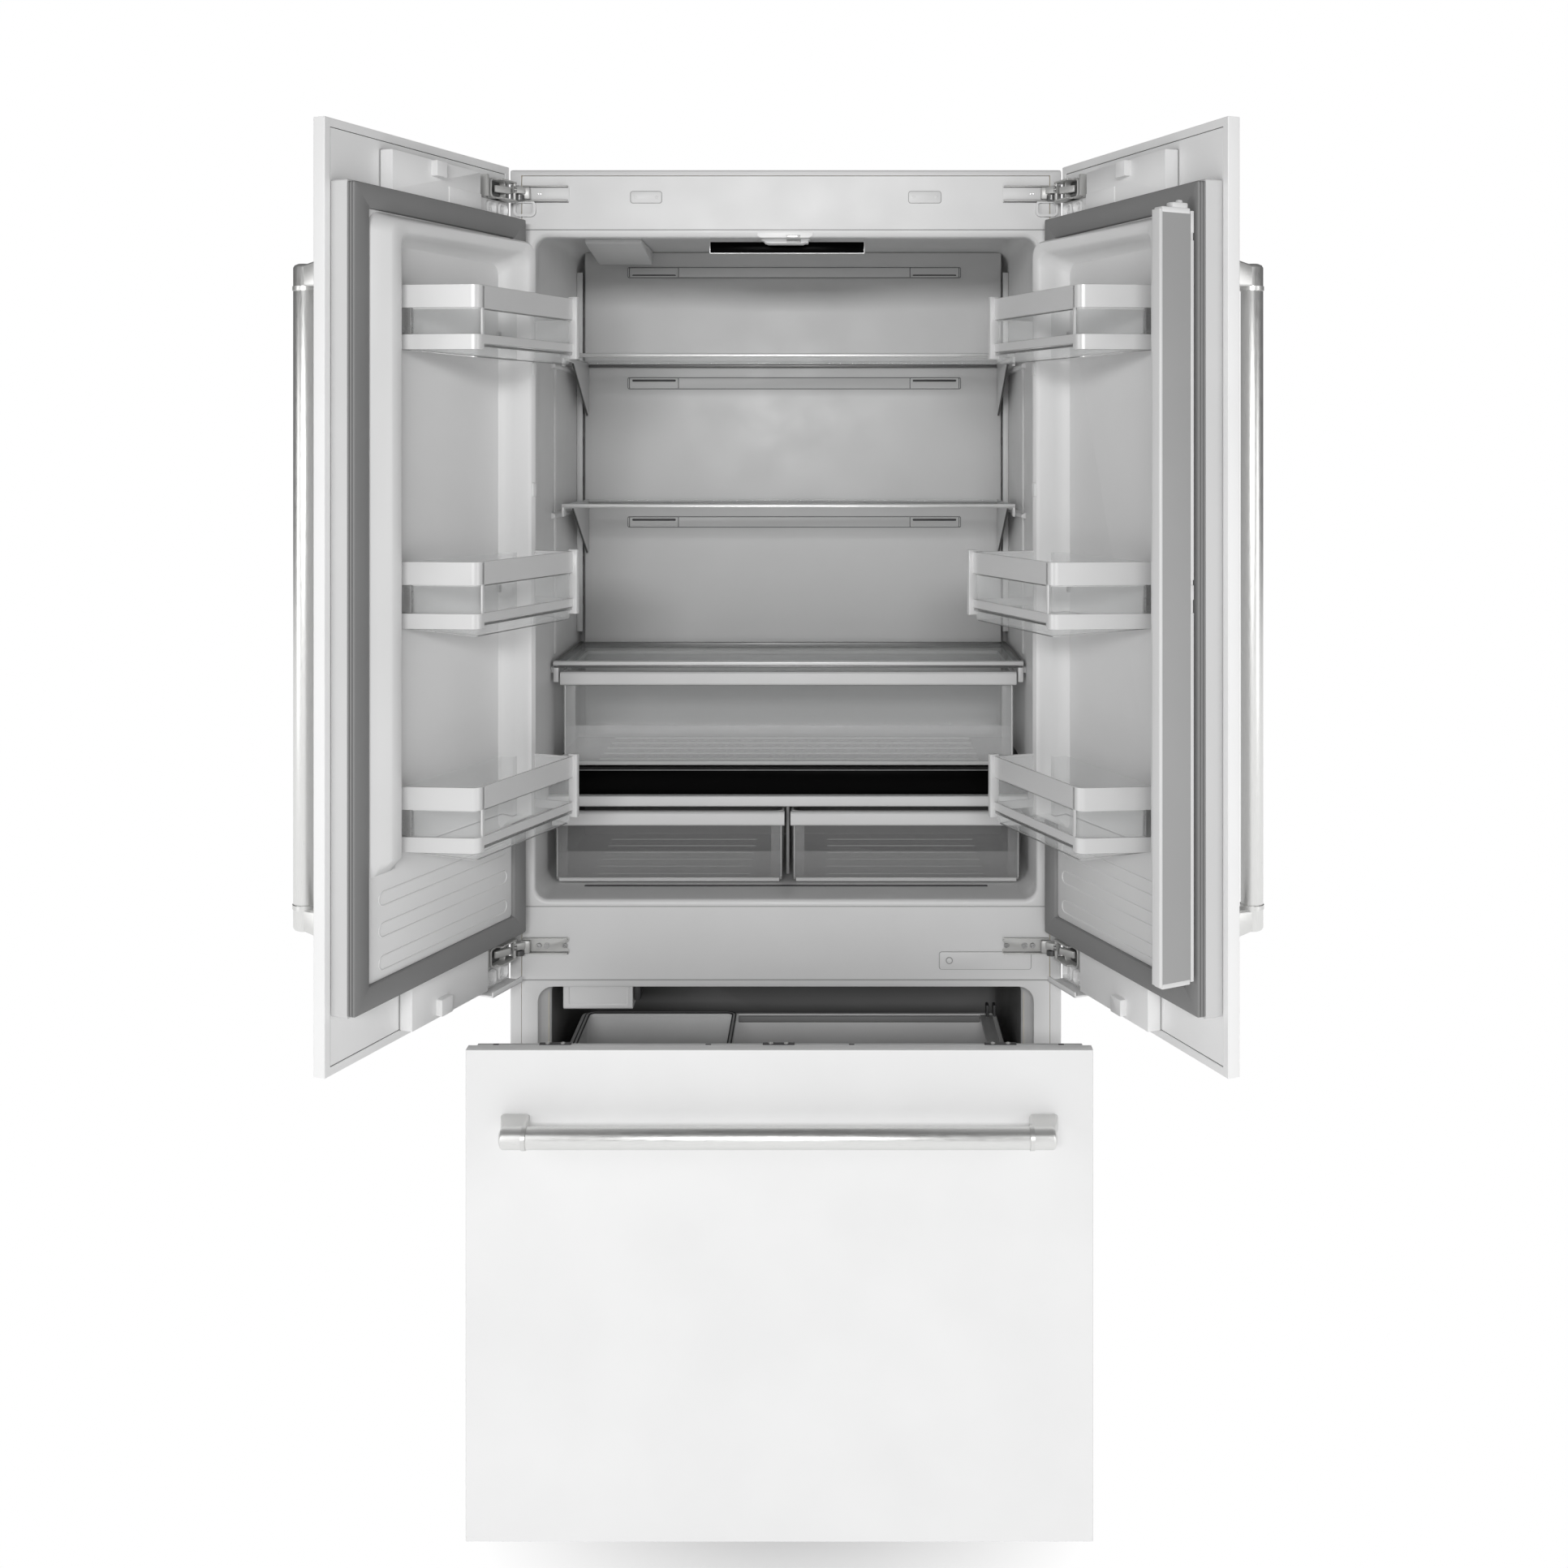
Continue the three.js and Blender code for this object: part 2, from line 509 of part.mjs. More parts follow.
// A flat base with a raised border round its upper part, which is open at the bottom.
function makeDoorLiner(side) {
  const { hinge, bottom, top, depth, base, radius } = DIKE;
  const inner = DOOR.edge + DOOR.band + AIR;
  const low = DOOR.bottom + DOOR.seal + DOOR.band + AIR;
  const high = DOOR.top - DOOR.seal - DOOR.band - AIR;
  const plate = box(inner, PANEL.width - inner, DOOR.foam + AIR, base, low, high);
  const outer = roundedOutline(hinge, DIKE_FREE[side], bottom, top, [0, 0, radius, radius]);
  const dike = sweep('y', outer, base - 1, depth, 2);
  const curve = RECESS.radius;
  const inside = roundedOutline(RECESS.hinge, RECESS.free, bottom - 20, RECESS.top, [0, 0, curve, curve]);
  return cut(join(plate, dike), sweep('y', inside, base, depth + 1, 2));
}

// Seen from above: a bin whose hinge end steps over the liner's raised border, with one round corner.
function binOutline(front, inset) {
  const { far, near, back, crest, radius } = BIN;
  const step = RECESS.hinge + 4 + inset;
  const shape = new THREE.Shape();
  const round = radius - inset;
  shape.moveTo(step, back + inset);
  shape.lineTo(near - inset, back + inset);
  shape.lineTo(near - inset, front - inset - round);
  shape.absarc(near - inset - round, front - inset - round, round, 0, Math.PI / 2, false);
  shape.lineTo(far + inset, front - inset);
  shape.lineTo(far + inset, crest + inset);
  shape.lineTo(step, crest + inset);
  return shape;
}

function makeBin([z0, z1], front) {
  const outside = sweep('z', binOutline(front, 0), z0, z1, 4);
  const inside = sweep('z', binOutline(front, BIN.wall), z0 + BIN.wall, z1 + 1, 4);
  return cut(outside, inside);
}

// A round bar on two posts whose outer ends slope in towards the bar.
function makeHandle(length) {
  const { radius, standoff } = HANDLE;
  const { half, taper, overlap } = POST;
  const bar = post(0, -standoff, radius, taper, length - taper, 20);
  const lower = [[-AIR, 0], [-AIR, POST.length], [-standoff + overlap, POST.length], [-standoff, taper]];
  const upper = lower.map(([y, z]) => [y, length - z]);
  return join(bar, ...[lower, upper].map((profile) => sweep('x', outline(profile), -half, half)));
}

function makeFlipper() {
  const { edge, width, back, front, bottom, top } = FLIPPER;
  const body = sweep('z', roundedOutline(edge, width, back, front, [2, 4, 4, 4]), bottom, top, 2);
  return join(body, post(KNOB.x, KNOB.y, KNOB.radius, top - 1, top + KNOB.height, 12));
}

function makeDoor(side) {
  const door = new THREE.Group();
  const put = (name, shape, finish) => addPart(door, `${side}_${name}`, shape, finish, side);
  const edge = DOOR.edge;
  put('door_panel', makePanel(PANEL.width, PANEL.bottom, PANEL.top), 'white_panel');
  put('door_body', makeDoorBody(), 'frame_grey');
  const seal = makeGasket(edge, PANEL.width - edge, DOOR.bottom + DOOR.seal, DOOR.top - DOOR.seal,
    DOOR.foam + AIR, DOOR.foam + DOOR.gasket, DOOR.band);
  put('door_gasket', seal, 'gasket_grey');
  put('door_liner', makeDoorLiner(side), 'liner_white');
  const handle = toGeometry(makeHandle(HANDLE.top - HANDLE.bottom));
  put('door_handle', handle.translate(HANDLE.s, -PANEL.thick, HANDLE.bottom), 'brushed_steel');
  for (const [level, heights] of Object.entries(BINS)) {
    const deep = side === 'right' && level === 'middle';
    put(`${level}_bin`, makeBin(heights, deep ? BIN.deepFront : BIN.front), 'bin_silver');
  }
  for (const [level, z] of Object.entries(HINGE_HEIGHTS)) {
    put(`${level}_hinge_cup`, makeHingeCup(z), 'hinge_nickel');
  }
  return door;
}

// Hangs a door on its pivot: its parts are shifted so that the pivot is its origin, then it swings open.
function hangDoor(cabinet, side) {
  const door = makeDoor(side);
  const away = side === 'left' ? 1 : -1;
  if (side === 'right') hangFlipper(door);
  for (const child of door.children) child.position.add(new THREE.Vector3(-away * PIVOT.s, -PIVOT.t, 0));
  door.position.set(away * (CLOSED.x + PIVOT.s), CLOSED.y + PIVOT.t, 0);
  door.rotation.z = -away * DOOR_OPEN;
  cabinet.add(door);
}

function hangFlipper(door) {
  const flipper = new THREE.Group();
  addPart(flipper, 'mullion_flipper', makeFlipper(), 'gasket_grey', 'right');
  flipper.position.set(-FLIPPER_HINGE.s, FLIPPER_HINGE.t, 0);
  flipper.rotation.z = -THREE.MathUtils.degToRad(FLIPPER_HINGE.fold);
  door.add(flipper);
}

// Freezer drawer, drawn closed and slid out
function basketProfile(inset) {
  const { front, back, bottom, rim, stepY, stepZ } = BASKET;
  const top = inset ? rim + 1 : rim;
  return outline([
    [front + inset, bottom + inset],
    [stepY - inset, bottom + inset],
    [stepY - inset, stepZ + inset],
    [back - inset, stepZ + inset],
    [back - inset, top],
    [front + inset, top],
  ]);
}

function makeBasket() {
  const { half, wall, front, back } = BASKET;
  const outside = sweep('x', basketProfile(0), -half, half);
  const inside = sweep('x', basketProfile(wall), -half + wall, half - wall);
  const runners = [-1, 1].map((sign) => (
    box(sign * RUNNER.half, sign * (half - 1), front + 8, back - 6, RUNNER.bottom, RUNNER.top)
  ));
  const bracketFront = CLOSED.y + DOOR.foam + AIR;
  const bracket = box(-BRACKET.half, BRACKET.half, bracketFront, front + 1, BRACKET.bottom, BRACKET.top);
  return cut(join(outside, ...runners, bracket), inside);
}

function makeIceBin() {
  const { left, right, front, back, bottom, rim, wall } = ICE_BIN;
  const outside = box(left, right, front, back, bottom, rim);
  const inside = box(left + wall, right - wall, front + wall, back - wall, bottom + wall, rim + 1);
  return cut(outside, inside);
}

function makeDrawer(cabinet) {
  const drawer = new THREE.Group();
  const panelBack = CLOSED.y;
  const bodyHalf = DRAWER.half - DOOR.edge;
  const bodyBack = panelBack + DOOR.foam;
  const panel = makePanel(2 * DRAWER.half, DRAWER.bottom, DRAWER.top);
  addPart(drawer, 'freezer_drawer_panel', panel.translate([-DRAWER.half, panelBack, 0]), 'white_panel');
  const slab = box(-bodyHalf, bodyHalf, panelBack + AIR, bodyBack, DRAWER.bodyBottom, DRAWER.bodyTop);
  const stripBack = panelBack + DRAWER.strip;
  const strip = box(-bodyHalf, bodyHalf, panelBack + AIR, stripBack, DRAWER.bodyTop - 1, DRAWER.top - 1);
  addPart(drawer, 'freezer_drawer_body', join(slab, strip), 'frame_grey');
  const seal = makeGasket(-bodyHalf, bodyHalf, DRAWER.bodyBottom, DRAWER.bodyTop,
    bodyBack + AIR, panelBack + DOOR.foam + DOOR.gasket, DOOR.band);
  addPart(drawer, 'freezer_drawer_gasket', seal, 'gasket_grey');
  const handle = toGeometry(makeHandle(2 * HANDLE.s)).rotateY(Math.PI / 2);
  const handleY = panelBack - PANEL.thick;
  handle.translate(-HANDLE.s, handleY, HANDLE.drawer);
  addPart(drawer, 'freezer_drawer_handle', handle, 'brushed_steel');
  addPart(drawer, 'freezer_basket', makeBasket(), 'basket_white');
  addPart(drawer, 'ice_bin', makeIceBin(), 'clear_plastic');
  drawer.position.y = -DRAWER.out;
  cabinet.add(drawer);
}

// Crisper drawers
function makeCrisper(x0, x1, { front, back, bottom, top }) {
  const wall = TUB_WALL;
  const tub = cut(
    box(x0, x1, front, back, bottom, top),
    box(x0 + wall, x1 - wall, front + wall, back - wall, bottom + wall, top + 1),
  );
  const trimLow = top - FRONT_TRIM.height;
  const trim = roundedOutline(front - FRONT_TRIM.proud, front + 1, trimLow, top, [3, 0, 0, 3]);
  return join(tub, sweep('x', trim, x0, x1, 2));
}

function makeCrispers(group) {
  const wide = makeCrisper(-WIDE_DRAWER.half, WIDE_DRAWER.half, WIDE_DRAWER);
  addPart(group, 'wide_drawer', wide, 'clear_plastic');
  for (const side of ['left', 'right']) {
    const crisper = makeCrisper(-CRISPER.outer, -CRISPER.inner, CRISPER);
    addPart(group, `${side}_crisper`, crisper, 'clear_plastic', side);
  }
}

const cabinet = new THREE.Group();
makeCabinet(cabinet);
makeCrispers(cabinet);
makeDrawer(cabinet);
hangDoor(cabinet, 'left');
hangDoor(cabinet, 'right');

// The origin lies under the middle of the whole object's box, with its doors and drawer open.
cabinet.updateMatrixWorld(true);
const middle = new THREE.Box3().setFromObject(cabinet, true).getCenter(new THREE.Vector3());
cabinet.position.y = -middle.y;
const group = new THREE.Group();
group.add(cabinet);

export default group;
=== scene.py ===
"""Looks of a french door refrigerator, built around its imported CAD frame.

Pieces are drawn in millimetres in a local place, which a Place turns into the row frame in metres:
the cabinet (x to the right, y to the back from its front plane, z up), each door as if closed
(x along its width from the hinge edge, y inwards from its panel's back) and the closed freezer drawer.
"""
import json
import math
from collections import namedtuple

import bmesh
import bpy
from mathutils import Matrix, Vector


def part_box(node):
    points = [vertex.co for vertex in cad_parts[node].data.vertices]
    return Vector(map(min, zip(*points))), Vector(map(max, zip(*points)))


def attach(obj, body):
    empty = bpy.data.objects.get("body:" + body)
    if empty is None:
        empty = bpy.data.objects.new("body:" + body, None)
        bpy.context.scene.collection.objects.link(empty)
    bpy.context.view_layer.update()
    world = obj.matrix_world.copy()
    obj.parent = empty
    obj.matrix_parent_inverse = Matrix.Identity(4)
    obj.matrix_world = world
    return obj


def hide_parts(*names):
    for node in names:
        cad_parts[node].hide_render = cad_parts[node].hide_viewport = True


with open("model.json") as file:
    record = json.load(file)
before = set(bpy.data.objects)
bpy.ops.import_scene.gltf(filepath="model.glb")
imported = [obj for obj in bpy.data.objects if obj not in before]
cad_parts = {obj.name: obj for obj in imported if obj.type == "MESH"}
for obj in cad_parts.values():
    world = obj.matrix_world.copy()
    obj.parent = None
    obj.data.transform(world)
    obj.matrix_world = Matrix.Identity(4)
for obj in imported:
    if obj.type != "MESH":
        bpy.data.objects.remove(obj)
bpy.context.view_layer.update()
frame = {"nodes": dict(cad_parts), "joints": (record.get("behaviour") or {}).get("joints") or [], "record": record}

MM = 0.001
ARC = 6  # segments in a rounded corner
SIDE_NAMES = ("left", "right")

# Driving sizes in millimetres, as the frame has them
AIR = 0.3  # gap to a neighbouring piece
PANEL = {"width": 449, "bottom": 816, "top": 2130}
DRAWER_PANEL = {"width": 902, "bottom": 106, "top": 812}
CLOSED = 40.5  # the panels' backs stand this far before the cabinet's front when closed
PIN = (-435.17, -20.26)  # the left hinges' pin, beside and before the cabinet's front
PIVOT = (15.83, 20.24)  # the same pin in a door's own place
LINER = {"half": 406, "bottom": 945, "lip": 2017, "ceiling": 2045}
SEAM = {"fascia": 2029, "rail": 934, "freezer": 815}  # edges of the plates on the cabinet's front
FREEZER = {"half": 384, "mouth": 401, "bottom": 150, "top": 803.5}
SHELVES = {"upper": 1838, "middle": 1580}
CRISPER_SHELF = 1312
DRAWERS = {  # name: left, right, front, back, bottom, top
    "wide_drawer": (-389, 389, 150, 430, 1132, 1294),
    "left_crisper": (-394, -5, 100, 420, 946.5, 1066),
    "right_crisper": (5, 394, 100, 420, 946.5, 1066),
}
BIN_LEVELS = {"upper": (1816, 1908), "middle": (1421, 1516), "lower": (1105, 1198)}
HINGES = {"upper": 2087, "lower": 871.5}
BIN = {"near": 345, "far": 56, "back": 38, "step": 63, "lean": 0.3, "radius": 14, "pillar": 5}
BIN_ARC = 8  # segments in a bin's round corner
BIN_DROP = 12  # how far a bin's tray slopes down towards its front


# ---- places
Place = namedtuple("Place", "matrix body")
MIRROR = Matrix.Scale(-1, 4, (1, 0, 0))


def joint(name):
    return next(j for j in frame["joints"] if j["name"] == name)


def cabinet_place():
    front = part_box("cabinet_shell")[0].y
    return Place(Matrix.Translation((0, front, 0)) @ Matrix.Scale(MM, 4), "root")


def door_place(side):
    """The door's local millimetres, with x from its hinge edge, swung open round its hinge."""
    hinge = joint(f"{side}_door_hinge")
    pivot = Vector(hinge["pos_m"])
    pivot.z = 0
    mirror = MIRROR if side == "right" else Matrix.Identity(4)
    swing = math.radians(max(hinge["range_deg"])) * (1 if side == "right" else -1)
    local = Matrix.Scale(MM, 4) @ Matrix.Translation((-PIVOT[0], -PIVOT[1], 0))
    return Place(Matrix.Translation(pivot) @ Matrix.Rotation(swing, 4, "Z") @ mirror @ local, f"{side}_door")


def drawer_place():
    out = max(joint("freezer_slide")["range_m"]) / MM
    cabinet = cabinet_place()
    return Place(cabinet.matrix @ Matrix.Translation((0, -out, 0)), "freezer_drawer")


CABINET = cabinet_place()
DOORS = {side: door_place(side) for side in SIDE_NAMES}
DRAWER = drawer_place()
DRAWER_FRONT = Place(DRAWER.matrix @ Matrix.Translation((-DRAWER_PANEL["width"] / 2, -CLOSED, 0)),
                     "freezer_drawer")
SIDES = {"left": CABINET, "right": Place(CABINET.matrix @ MIRROR, "root")}
FOLD = Matrix.Rotation(math.radians(max(joint("flipper_hinge")["range_deg"])), 4, "Z")
FLIPPER_PLACE = Place(DOORS["right"].matrix @ Matrix.Translation((428, 47, 0)) @ FOLD, "flipper")


# ---- meshes
def loft(loops, caps=True, closed=False):
    """A closed body through loops of points, all with the same number of points."""
    bm = bmesh.new()
    rows = [[bm.verts.new(p) for p in loop] for loop in loops]
    pairs = list(zip(rows, rows[1:])) + ([(rows[-1], rows[0])] if closed else [])
    count = len(rows[0])
    for near, far in pairs:
        for i in range(count):
            j = (i + 1) % count
            bm.faces.new((near[i], near[j], far[j], far[i]))
    if caps and not closed:
        bm.faces.new(rows[0][::-1])
        bm.faces.new(rows[-1])
    bmesh.ops.recalc_face_normals(bm, faces=bm.faces)
    return bm


def rounded(a0, a1, b0, b1, radius, arc=ARC):
    """A rectangle's outline with rounded corners; radius is one number or four, from the lower left on."""
    radii = [radius] * 4 if isinstance(radius, (int, float)) else radius
    centres = [(a0, b0, 1, 1), (a1, b0, -1, 1), (a1, b1, -1, -1), (a0, b1, 1, -1)]
    points = []
    for k, ((a, b, sa, sb), r) in enumerate(zip(centres, radii)):
        r = max(r, 0.01)
        for i in range(arc + 1):
            angle = math.pi * (1 + k / 2 + i / arc / 2)
            points.append((a + sa * r + r * math.cos(angle), b + sb * r + r * math.sin(angle)))
    return points


def along(axis, points, at):
    """Lifts an outline into space: (y, z) across x, (x, z) across y or (x, y) across z."""
    if axis == "x":
        return [(at, a, b) for a, b in points]
    if axis == "y":
        return [(a, at, b) for a, b in points]
    return [(a, b, at) for a, b in points]


def bevel(bm, width, segments=2, limit=30):
    sharp = [e for e in bm.edges if len(e.link_faces) == 2 and e.calc_face_angle(0) > math.radians(limit)]
    if sharp and width > 0:
        bmesh.ops.bevel(bm, geom=sharp, offset=width, segments=segments, affect="EDGES", profile=0.5,
                        clamp_overlap=True)
    return bm


def prism(axis, points, low, high, edge=0.6, segments=2):
    """An outline swept straight, with softened edges."""
    return bevel(loft([along(axis, points, low), along(axis, points, high)]), edge, segments)


def slab(x0, x1, y0, y1, z0, z1, edge=1.0, segments=2):
    square = [(x0, y0), (x1, y0), (x1, y1), (x0, y1)]
    return prism("z", square, z0, z1, edge, segments)


def turned(profile, sides=32, axis="z", at=(0, 0, 0)):
    """A round body from (radius, height) points that start and end on the axis."""
    bm = bmesh.new()
    rings = []
    for r, h in profile:
        if r < 1e-6:
            rings.append([bm.verts.new((0, 0, h))])
            continue
        turn = [2 * math.pi * i / sides for i in range(sides)]
        rings.append([bm.verts.new((r * math.cos(t), r * math.sin(t), h)) for t in turn])
    for near, far in zip(rings, rings[1:]):
        for i in range(sides):
            j = (i + 1) % sides
            corners = [near[i % len(near)], near[j % len(near)], far[j % len(far)], far[i % len(far)]]
            unique = list(dict.fromkeys(corners))
            if len(unique) > 2:
                bm.faces.new(unique)
    bmesh.ops.recalc_face_normals(bm, faces=bm.faces)
    turn = {"z": Matrix.Identity(4), "y": Matrix.Rotation(-math.pi / 2, 4, "X"),
            "x": Matrix.Rotation(math.pi / 2, 4, "Y")}[axis]
    return moved(bm, Matrix.Translation(at) @ turn)


def disc(radius, low, high, sides, axis, at):
    """A plain round body from low to high along its axis."""
    return turned([(0, low), (radius, low), (radius, high), (0, high)], sides, axis, at)


def moved(bm, matrix):
    bm.transform(matrix)
    if matrix.determinant() < 0:
        bmesh.ops.reverse_faces(bm, faces=bm.faces)
    return bm


def to_mesh(name, bm):
    """A mesh of a body, which is used up."""
    mesh = bpy.data.meshes.new(name)
    bm.to_mesh(mesh)
    bm.free()
    return mesh


def add_thing(name, data, place=(0, 0, 0), turn=(0, 0, 0)):
    thing = bpy.data.objects.new(name, data)
    thing.location = place
    thing.rotation_euler = turn
    bpy.context.scene.collection.objects.link(thing)
    return thing


def merge(*parts):
    """Several bodies in one mesh."""
    whole = bmesh.new()
    for part in parts:
        mesh = to_mesh("part", part)
        whole.from_mesh(mesh)
        bpy.data.meshes.remove(mesh)
    return whole


def carve(bm, *tools):
    """bm with the tools cut away; all are used up."""
    body, other = (add_thing("solid", to_mesh("solid", part)) for part in (bm, merge(*tools)))
    step = body.modifiers.new("cut", "BOOLEAN")
    step.object = other
    step.operation = "DIFFERENCE"
    step.solver = "EXACT"
    bpy.context.view_layer.update()
    result = bmesh.new()
    result.from_object(body, bpy.context.evaluated_depsgraph_get())
    for thing in (body, other):
        mesh = thing.data
        bpy.data.objects.remove(thing)
        bpy.data.meshes.remove(mesh)
    return result


def piece(name, bm, place, material, replaced=(), smooth=35, slot=None):
    """Puts a body in the row frame as a piece; the slot it works out (its finish's own unless another is named) is
    not kept.
    """
    moved(bm, place.matrix)
    bmesh.ops.remove_doubles(bm, verts=bm.verts, dist=1e-7)
    mesh = to_mesh(name, bm)
    mesh.materials.append(material)
    mesh.shade_smooth()
    mesh.set_sharp_from_angle(angle=math.radians(smooth))
    thing = add_thing(name, mesh)
    slot = slot or HOME_SLOT[material.name]
    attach(thing, place.body)
    if replaced:
        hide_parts(*replaced)
    return thing


# ---- materials
def feed(tree, node, **values):
    """Sets a node's inputs or links them to outputs; an underscore stands for a space in their names."""
    for name, value in values.items():
        socket = node.inputs[name.replace("_", " ")]
        if isinstance(value, bpy.types.NodeSocket):
            tree.links.new(value, socket)
        else:
            socket.default_value = value


def add_node(tree, kind, output=0, **values):
    """The output of a new shader node, by name or number."""
    node = tree.nodes.new(f"ShaderNode{kind}")
    feed(tree, node, **values)
    return node.outputs[output]


def start_material(name, color, roughness, metallic=0.0):
    material = bpy.data.materials.new(name)
    material.use_nodes = True
    tree = material.node_tree
    shader = tree.nodes["Principled BSDF"]
    feed(tree, shader, Base_Color=(*color, 1), Roughness=roughness, Metallic=metallic)
    return material, tree, shader


def noise(tree, scale, detail=3.0, stretch=(1, 1, 1)):
    """Noise in the piece's own space, so that it stays on the piece as that moves."""
    place = add_node(tree, "TexCoord", "Object")
    mapped = add_node(tree, "Mapping", Vector=place, Scale=stretch)
    return add_node(tree, "TexNoise", "Fac", Vector=mapped, Scale=scale, Detail=detail)


def spread(tree, shader, value, low, high):
    """Roughness that runs from low to high with value."""
    result = add_node(tree, "MapRange", Value=value, From_Min=0.25, From_Max=0.75, To_Min=low, To_Max=high)
    feed(tree, shader, Roughness=result)


def bump(tree, shader, value, depth):
    feed(tree, shader, Normal=add_node(tree, "Bump", Height=value, Distance=depth, Strength=1.0))


def tone(tree, shader, value, low, high, start=0.0, end=1.0):
    """Base colour that runs from low to high with value."""
    color = add_node(tree, "ValToRGB", Fac=value)
    for element, position, shown in zip(color.node.color_ramp.elements, (start, end), (low, high)):
        element.position = position
        element.color = (*shown, 1)
    feed(tree, shader, Base_Color=color)


def grey(value):
    return (value, value, value)


def shade(color, factor):
    return [min(1, c * factor) for c in color]


def textured(name, color, roughness, grain, depth, metallic=0.0, change=0.02):
    """Paint, plastic, rubber or cast metal: fine grain in the bump, cloudy roughness and colour."""
    material, tree, shader = start_material(name, color, roughness, metallic)
    tone(tree, shader, noise(tree, 6), shade(color, 1 - change), shade(color, 1 + change), 0.3, 0.7)
    spread(tree, shader, noise(tree, 14), roughness - 0.06, roughness + 0.06)
    bump(tree, shader, noise(tree, grain, 2), depth)
    return material


def brushed(name, color, roughness, stretch):
    """Metal brushed along the short axis of stretch."""
    material, tree, shader = start_material(name, color, roughness, 1.0)
    grain = noise(tree, 220, 4, stretch)
    spread(tree, shader, grain, roughness - 0.1, roughness + 0.12)
    tone(tree, shader, grain, shade(color, 0.86), shade(color, 1.08))
    bump(tree, shader, grain, 0.000012)
    return material


def clear(name, color, roughness, alpha):
    """Clear plastic or glass that lets the light through to what stands behind it."""
    material, tree, shader = start_material(name, color, roughness)
    feed(tree, shader, Alpha=alpha)
    spread(tree, shader, noise(tree, 40), max(0.0, roughness - 0.02), roughness + 0.03)
    bump(tree, shader, noise(tree, 60), 0.00003)
    return material


def glossy(name, color, roughness, shine):
    material, tree, shader = start_material(name, color, roughness)
    feed(tree, shader, Specular_IOR_Level=shine)
    spread(tree, shader, noise(tree, 30), roughness, roughness + 0.05)
    bump(tree, shader, noise(tree, 25), 0.00002)
    return material


PAINT = textured("white_enamel", grey(0.81), 0.42, 1500, 0.00005)
FRAME = textured("frame_enamel", grey(0.66), 0.42, 1100, 0.00004)
SHEET = textured("cabinet_sheet", grey(0.62), 0.45, 1100, 0.00004)
PLASTIC = textured("liner_plastic", grey(0.64), 0.38, 700, 0.00003)
SIDE_FOAM = textured("door_edge", grey(0.57), 0.5, 800, 0.00005)
RUBBER = textured("gasket_rubber", grey(0.215), 0.62, 1400, 0.00003)
FLIPPER = textured("flipper_grey", grey(0.32), 0.5, 1600, 0.00004)
STEEL_UP = brushed("brushed_steel_upright", (0.78, 0.78, 0.77), 0.36, (8, 8, 0.25))
STEEL_ACROSS = brushed("brushed_steel_across", (0.78, 0.78, 0.77), 0.36, (0.25, 8, 8))
CAST = textured("satin_cast", (0.7, 0.7, 0.69), 0.38, 1300, 0.00002, 0.9)
NICKEL = textured("hinge_nickel", (0.5, 0.5, 0.49), 0.42, 500, 0.00002, 0.35)
DARK_NICKEL = textured("hinge_dark", grey(0.16), 0.38, 500, 0.00002, 0.8)
SILVER = textured("satin_silver", grey(0.64), 0.36, 1500, 0.00002, 0.2)
CLEAR = clear("clear_plastic", (0.88, 0.89, 0.89), 0.08, 0.13)
GLASS = clear("shelf_glass", (0.8, 0.83, 0.82), 0.05, 0.2)
BLACK = glossy("black_glass", grey(0.002), 0.2, 0.02)
BASKET = textured("basket_plastic", grey(0.66), 0.42, 800, 0.00004)
RAIL = brushed("rail_steel", grey(0.5), 0.3, (8, 0.25, 8))
# A slightly darker copy of the liner plastic: painted shade for the back wall, which the light reaches less
BACK = textured("back_plastic_painted_shade", grey(0.59), 0.38, 700, 0.00003)
TRIM = textured("trim_plastic", grey(0.66), 0.36, 800, 0.00003)
DOOR_LINER = textured("door_liner_plastic", grey(0.68), 0.42, 900, 0.00004)
CLEAR_EDGE = clear("clear_edge", grey(0.9), 0.15, 0.6)
# Clear plastic painted dark grey: painted shade for the dim inside of the crisper drawers
CRISPER_SHADE = clear("clear_painted_shade", grey(0.3), 0.08, 0.24)
HAZE = clear("clear_haze", grey(0.9), 0.2, 0.2)
# Liner plastic painted dark grey for the freezer's inside: painted shade standing for the shadow that the drawer
# and cabinet cast there
FREEZER_SHADE = textured("freezer_plastic_painted_shade", grey(0.17), 0.42, 800, 0.00003)
DARK = textured("dark_plastic", (0.045, 0.045, 0.047), 0.5, 900, 0.00005)
FOAM = textured("polyurethane_foam", (0.72, 0.63, 0.4), 0.9, 260, 0.0004, 0.0, 0.08)
BLACK_STEEL = textured("black_steel", (0.03, 0.03, 0.031), 0.45, 700, 0.00006)

FINISHES = {  # material slot: the finish of the CAD nodes in it, then others that pieces in it have
    "white_panel": [PAINT],
    "frame_grey": [FRAME, SHEET],
    "door_foam": [SIDE_FOAM],
    "liner_white": [PLASTIC, BACK, FREEZER_SHADE, DOOR_LINER],
    "gasket_grey": [RUBBER],
    "flipper_grey": [FLIPPER],
    "brushed_steel": [STEEL_UP, STEEL_ACROSS, CAST],
    "hinge_nickel": [NICKEL],
    "bin_silver": [SILVER],
    "clear_plastic": [CLEAR, CLEAR_EDGE, CRISPER_SHADE, HAZE],
    "shelf_glass": [GLASS],
    "black_gloss": [BLACK],
    "basket_white": [BASKET, TRIM],
    "rail_steel": [RAIL, DARK_NICKEL],
    "dark_grey": [DARK],
    "foam": [FOAM],
    "steel_dark": [BLACK_STEEL],
}
HOME_SLOT = {finish.name: slot for slot, group in FINISHES.items() for finish in group}


def finish_nodes():
    """Gives every CAD node the finish of its material slot."""
    slots = {s["node"]: s["material_slot"] for s in frame["record"]["subparts"]}
    for name, thing in frame["nodes"].items():
        thing.data.materials.clear()
        thing.data.materials.append(FINISHES[slots[name]][0])


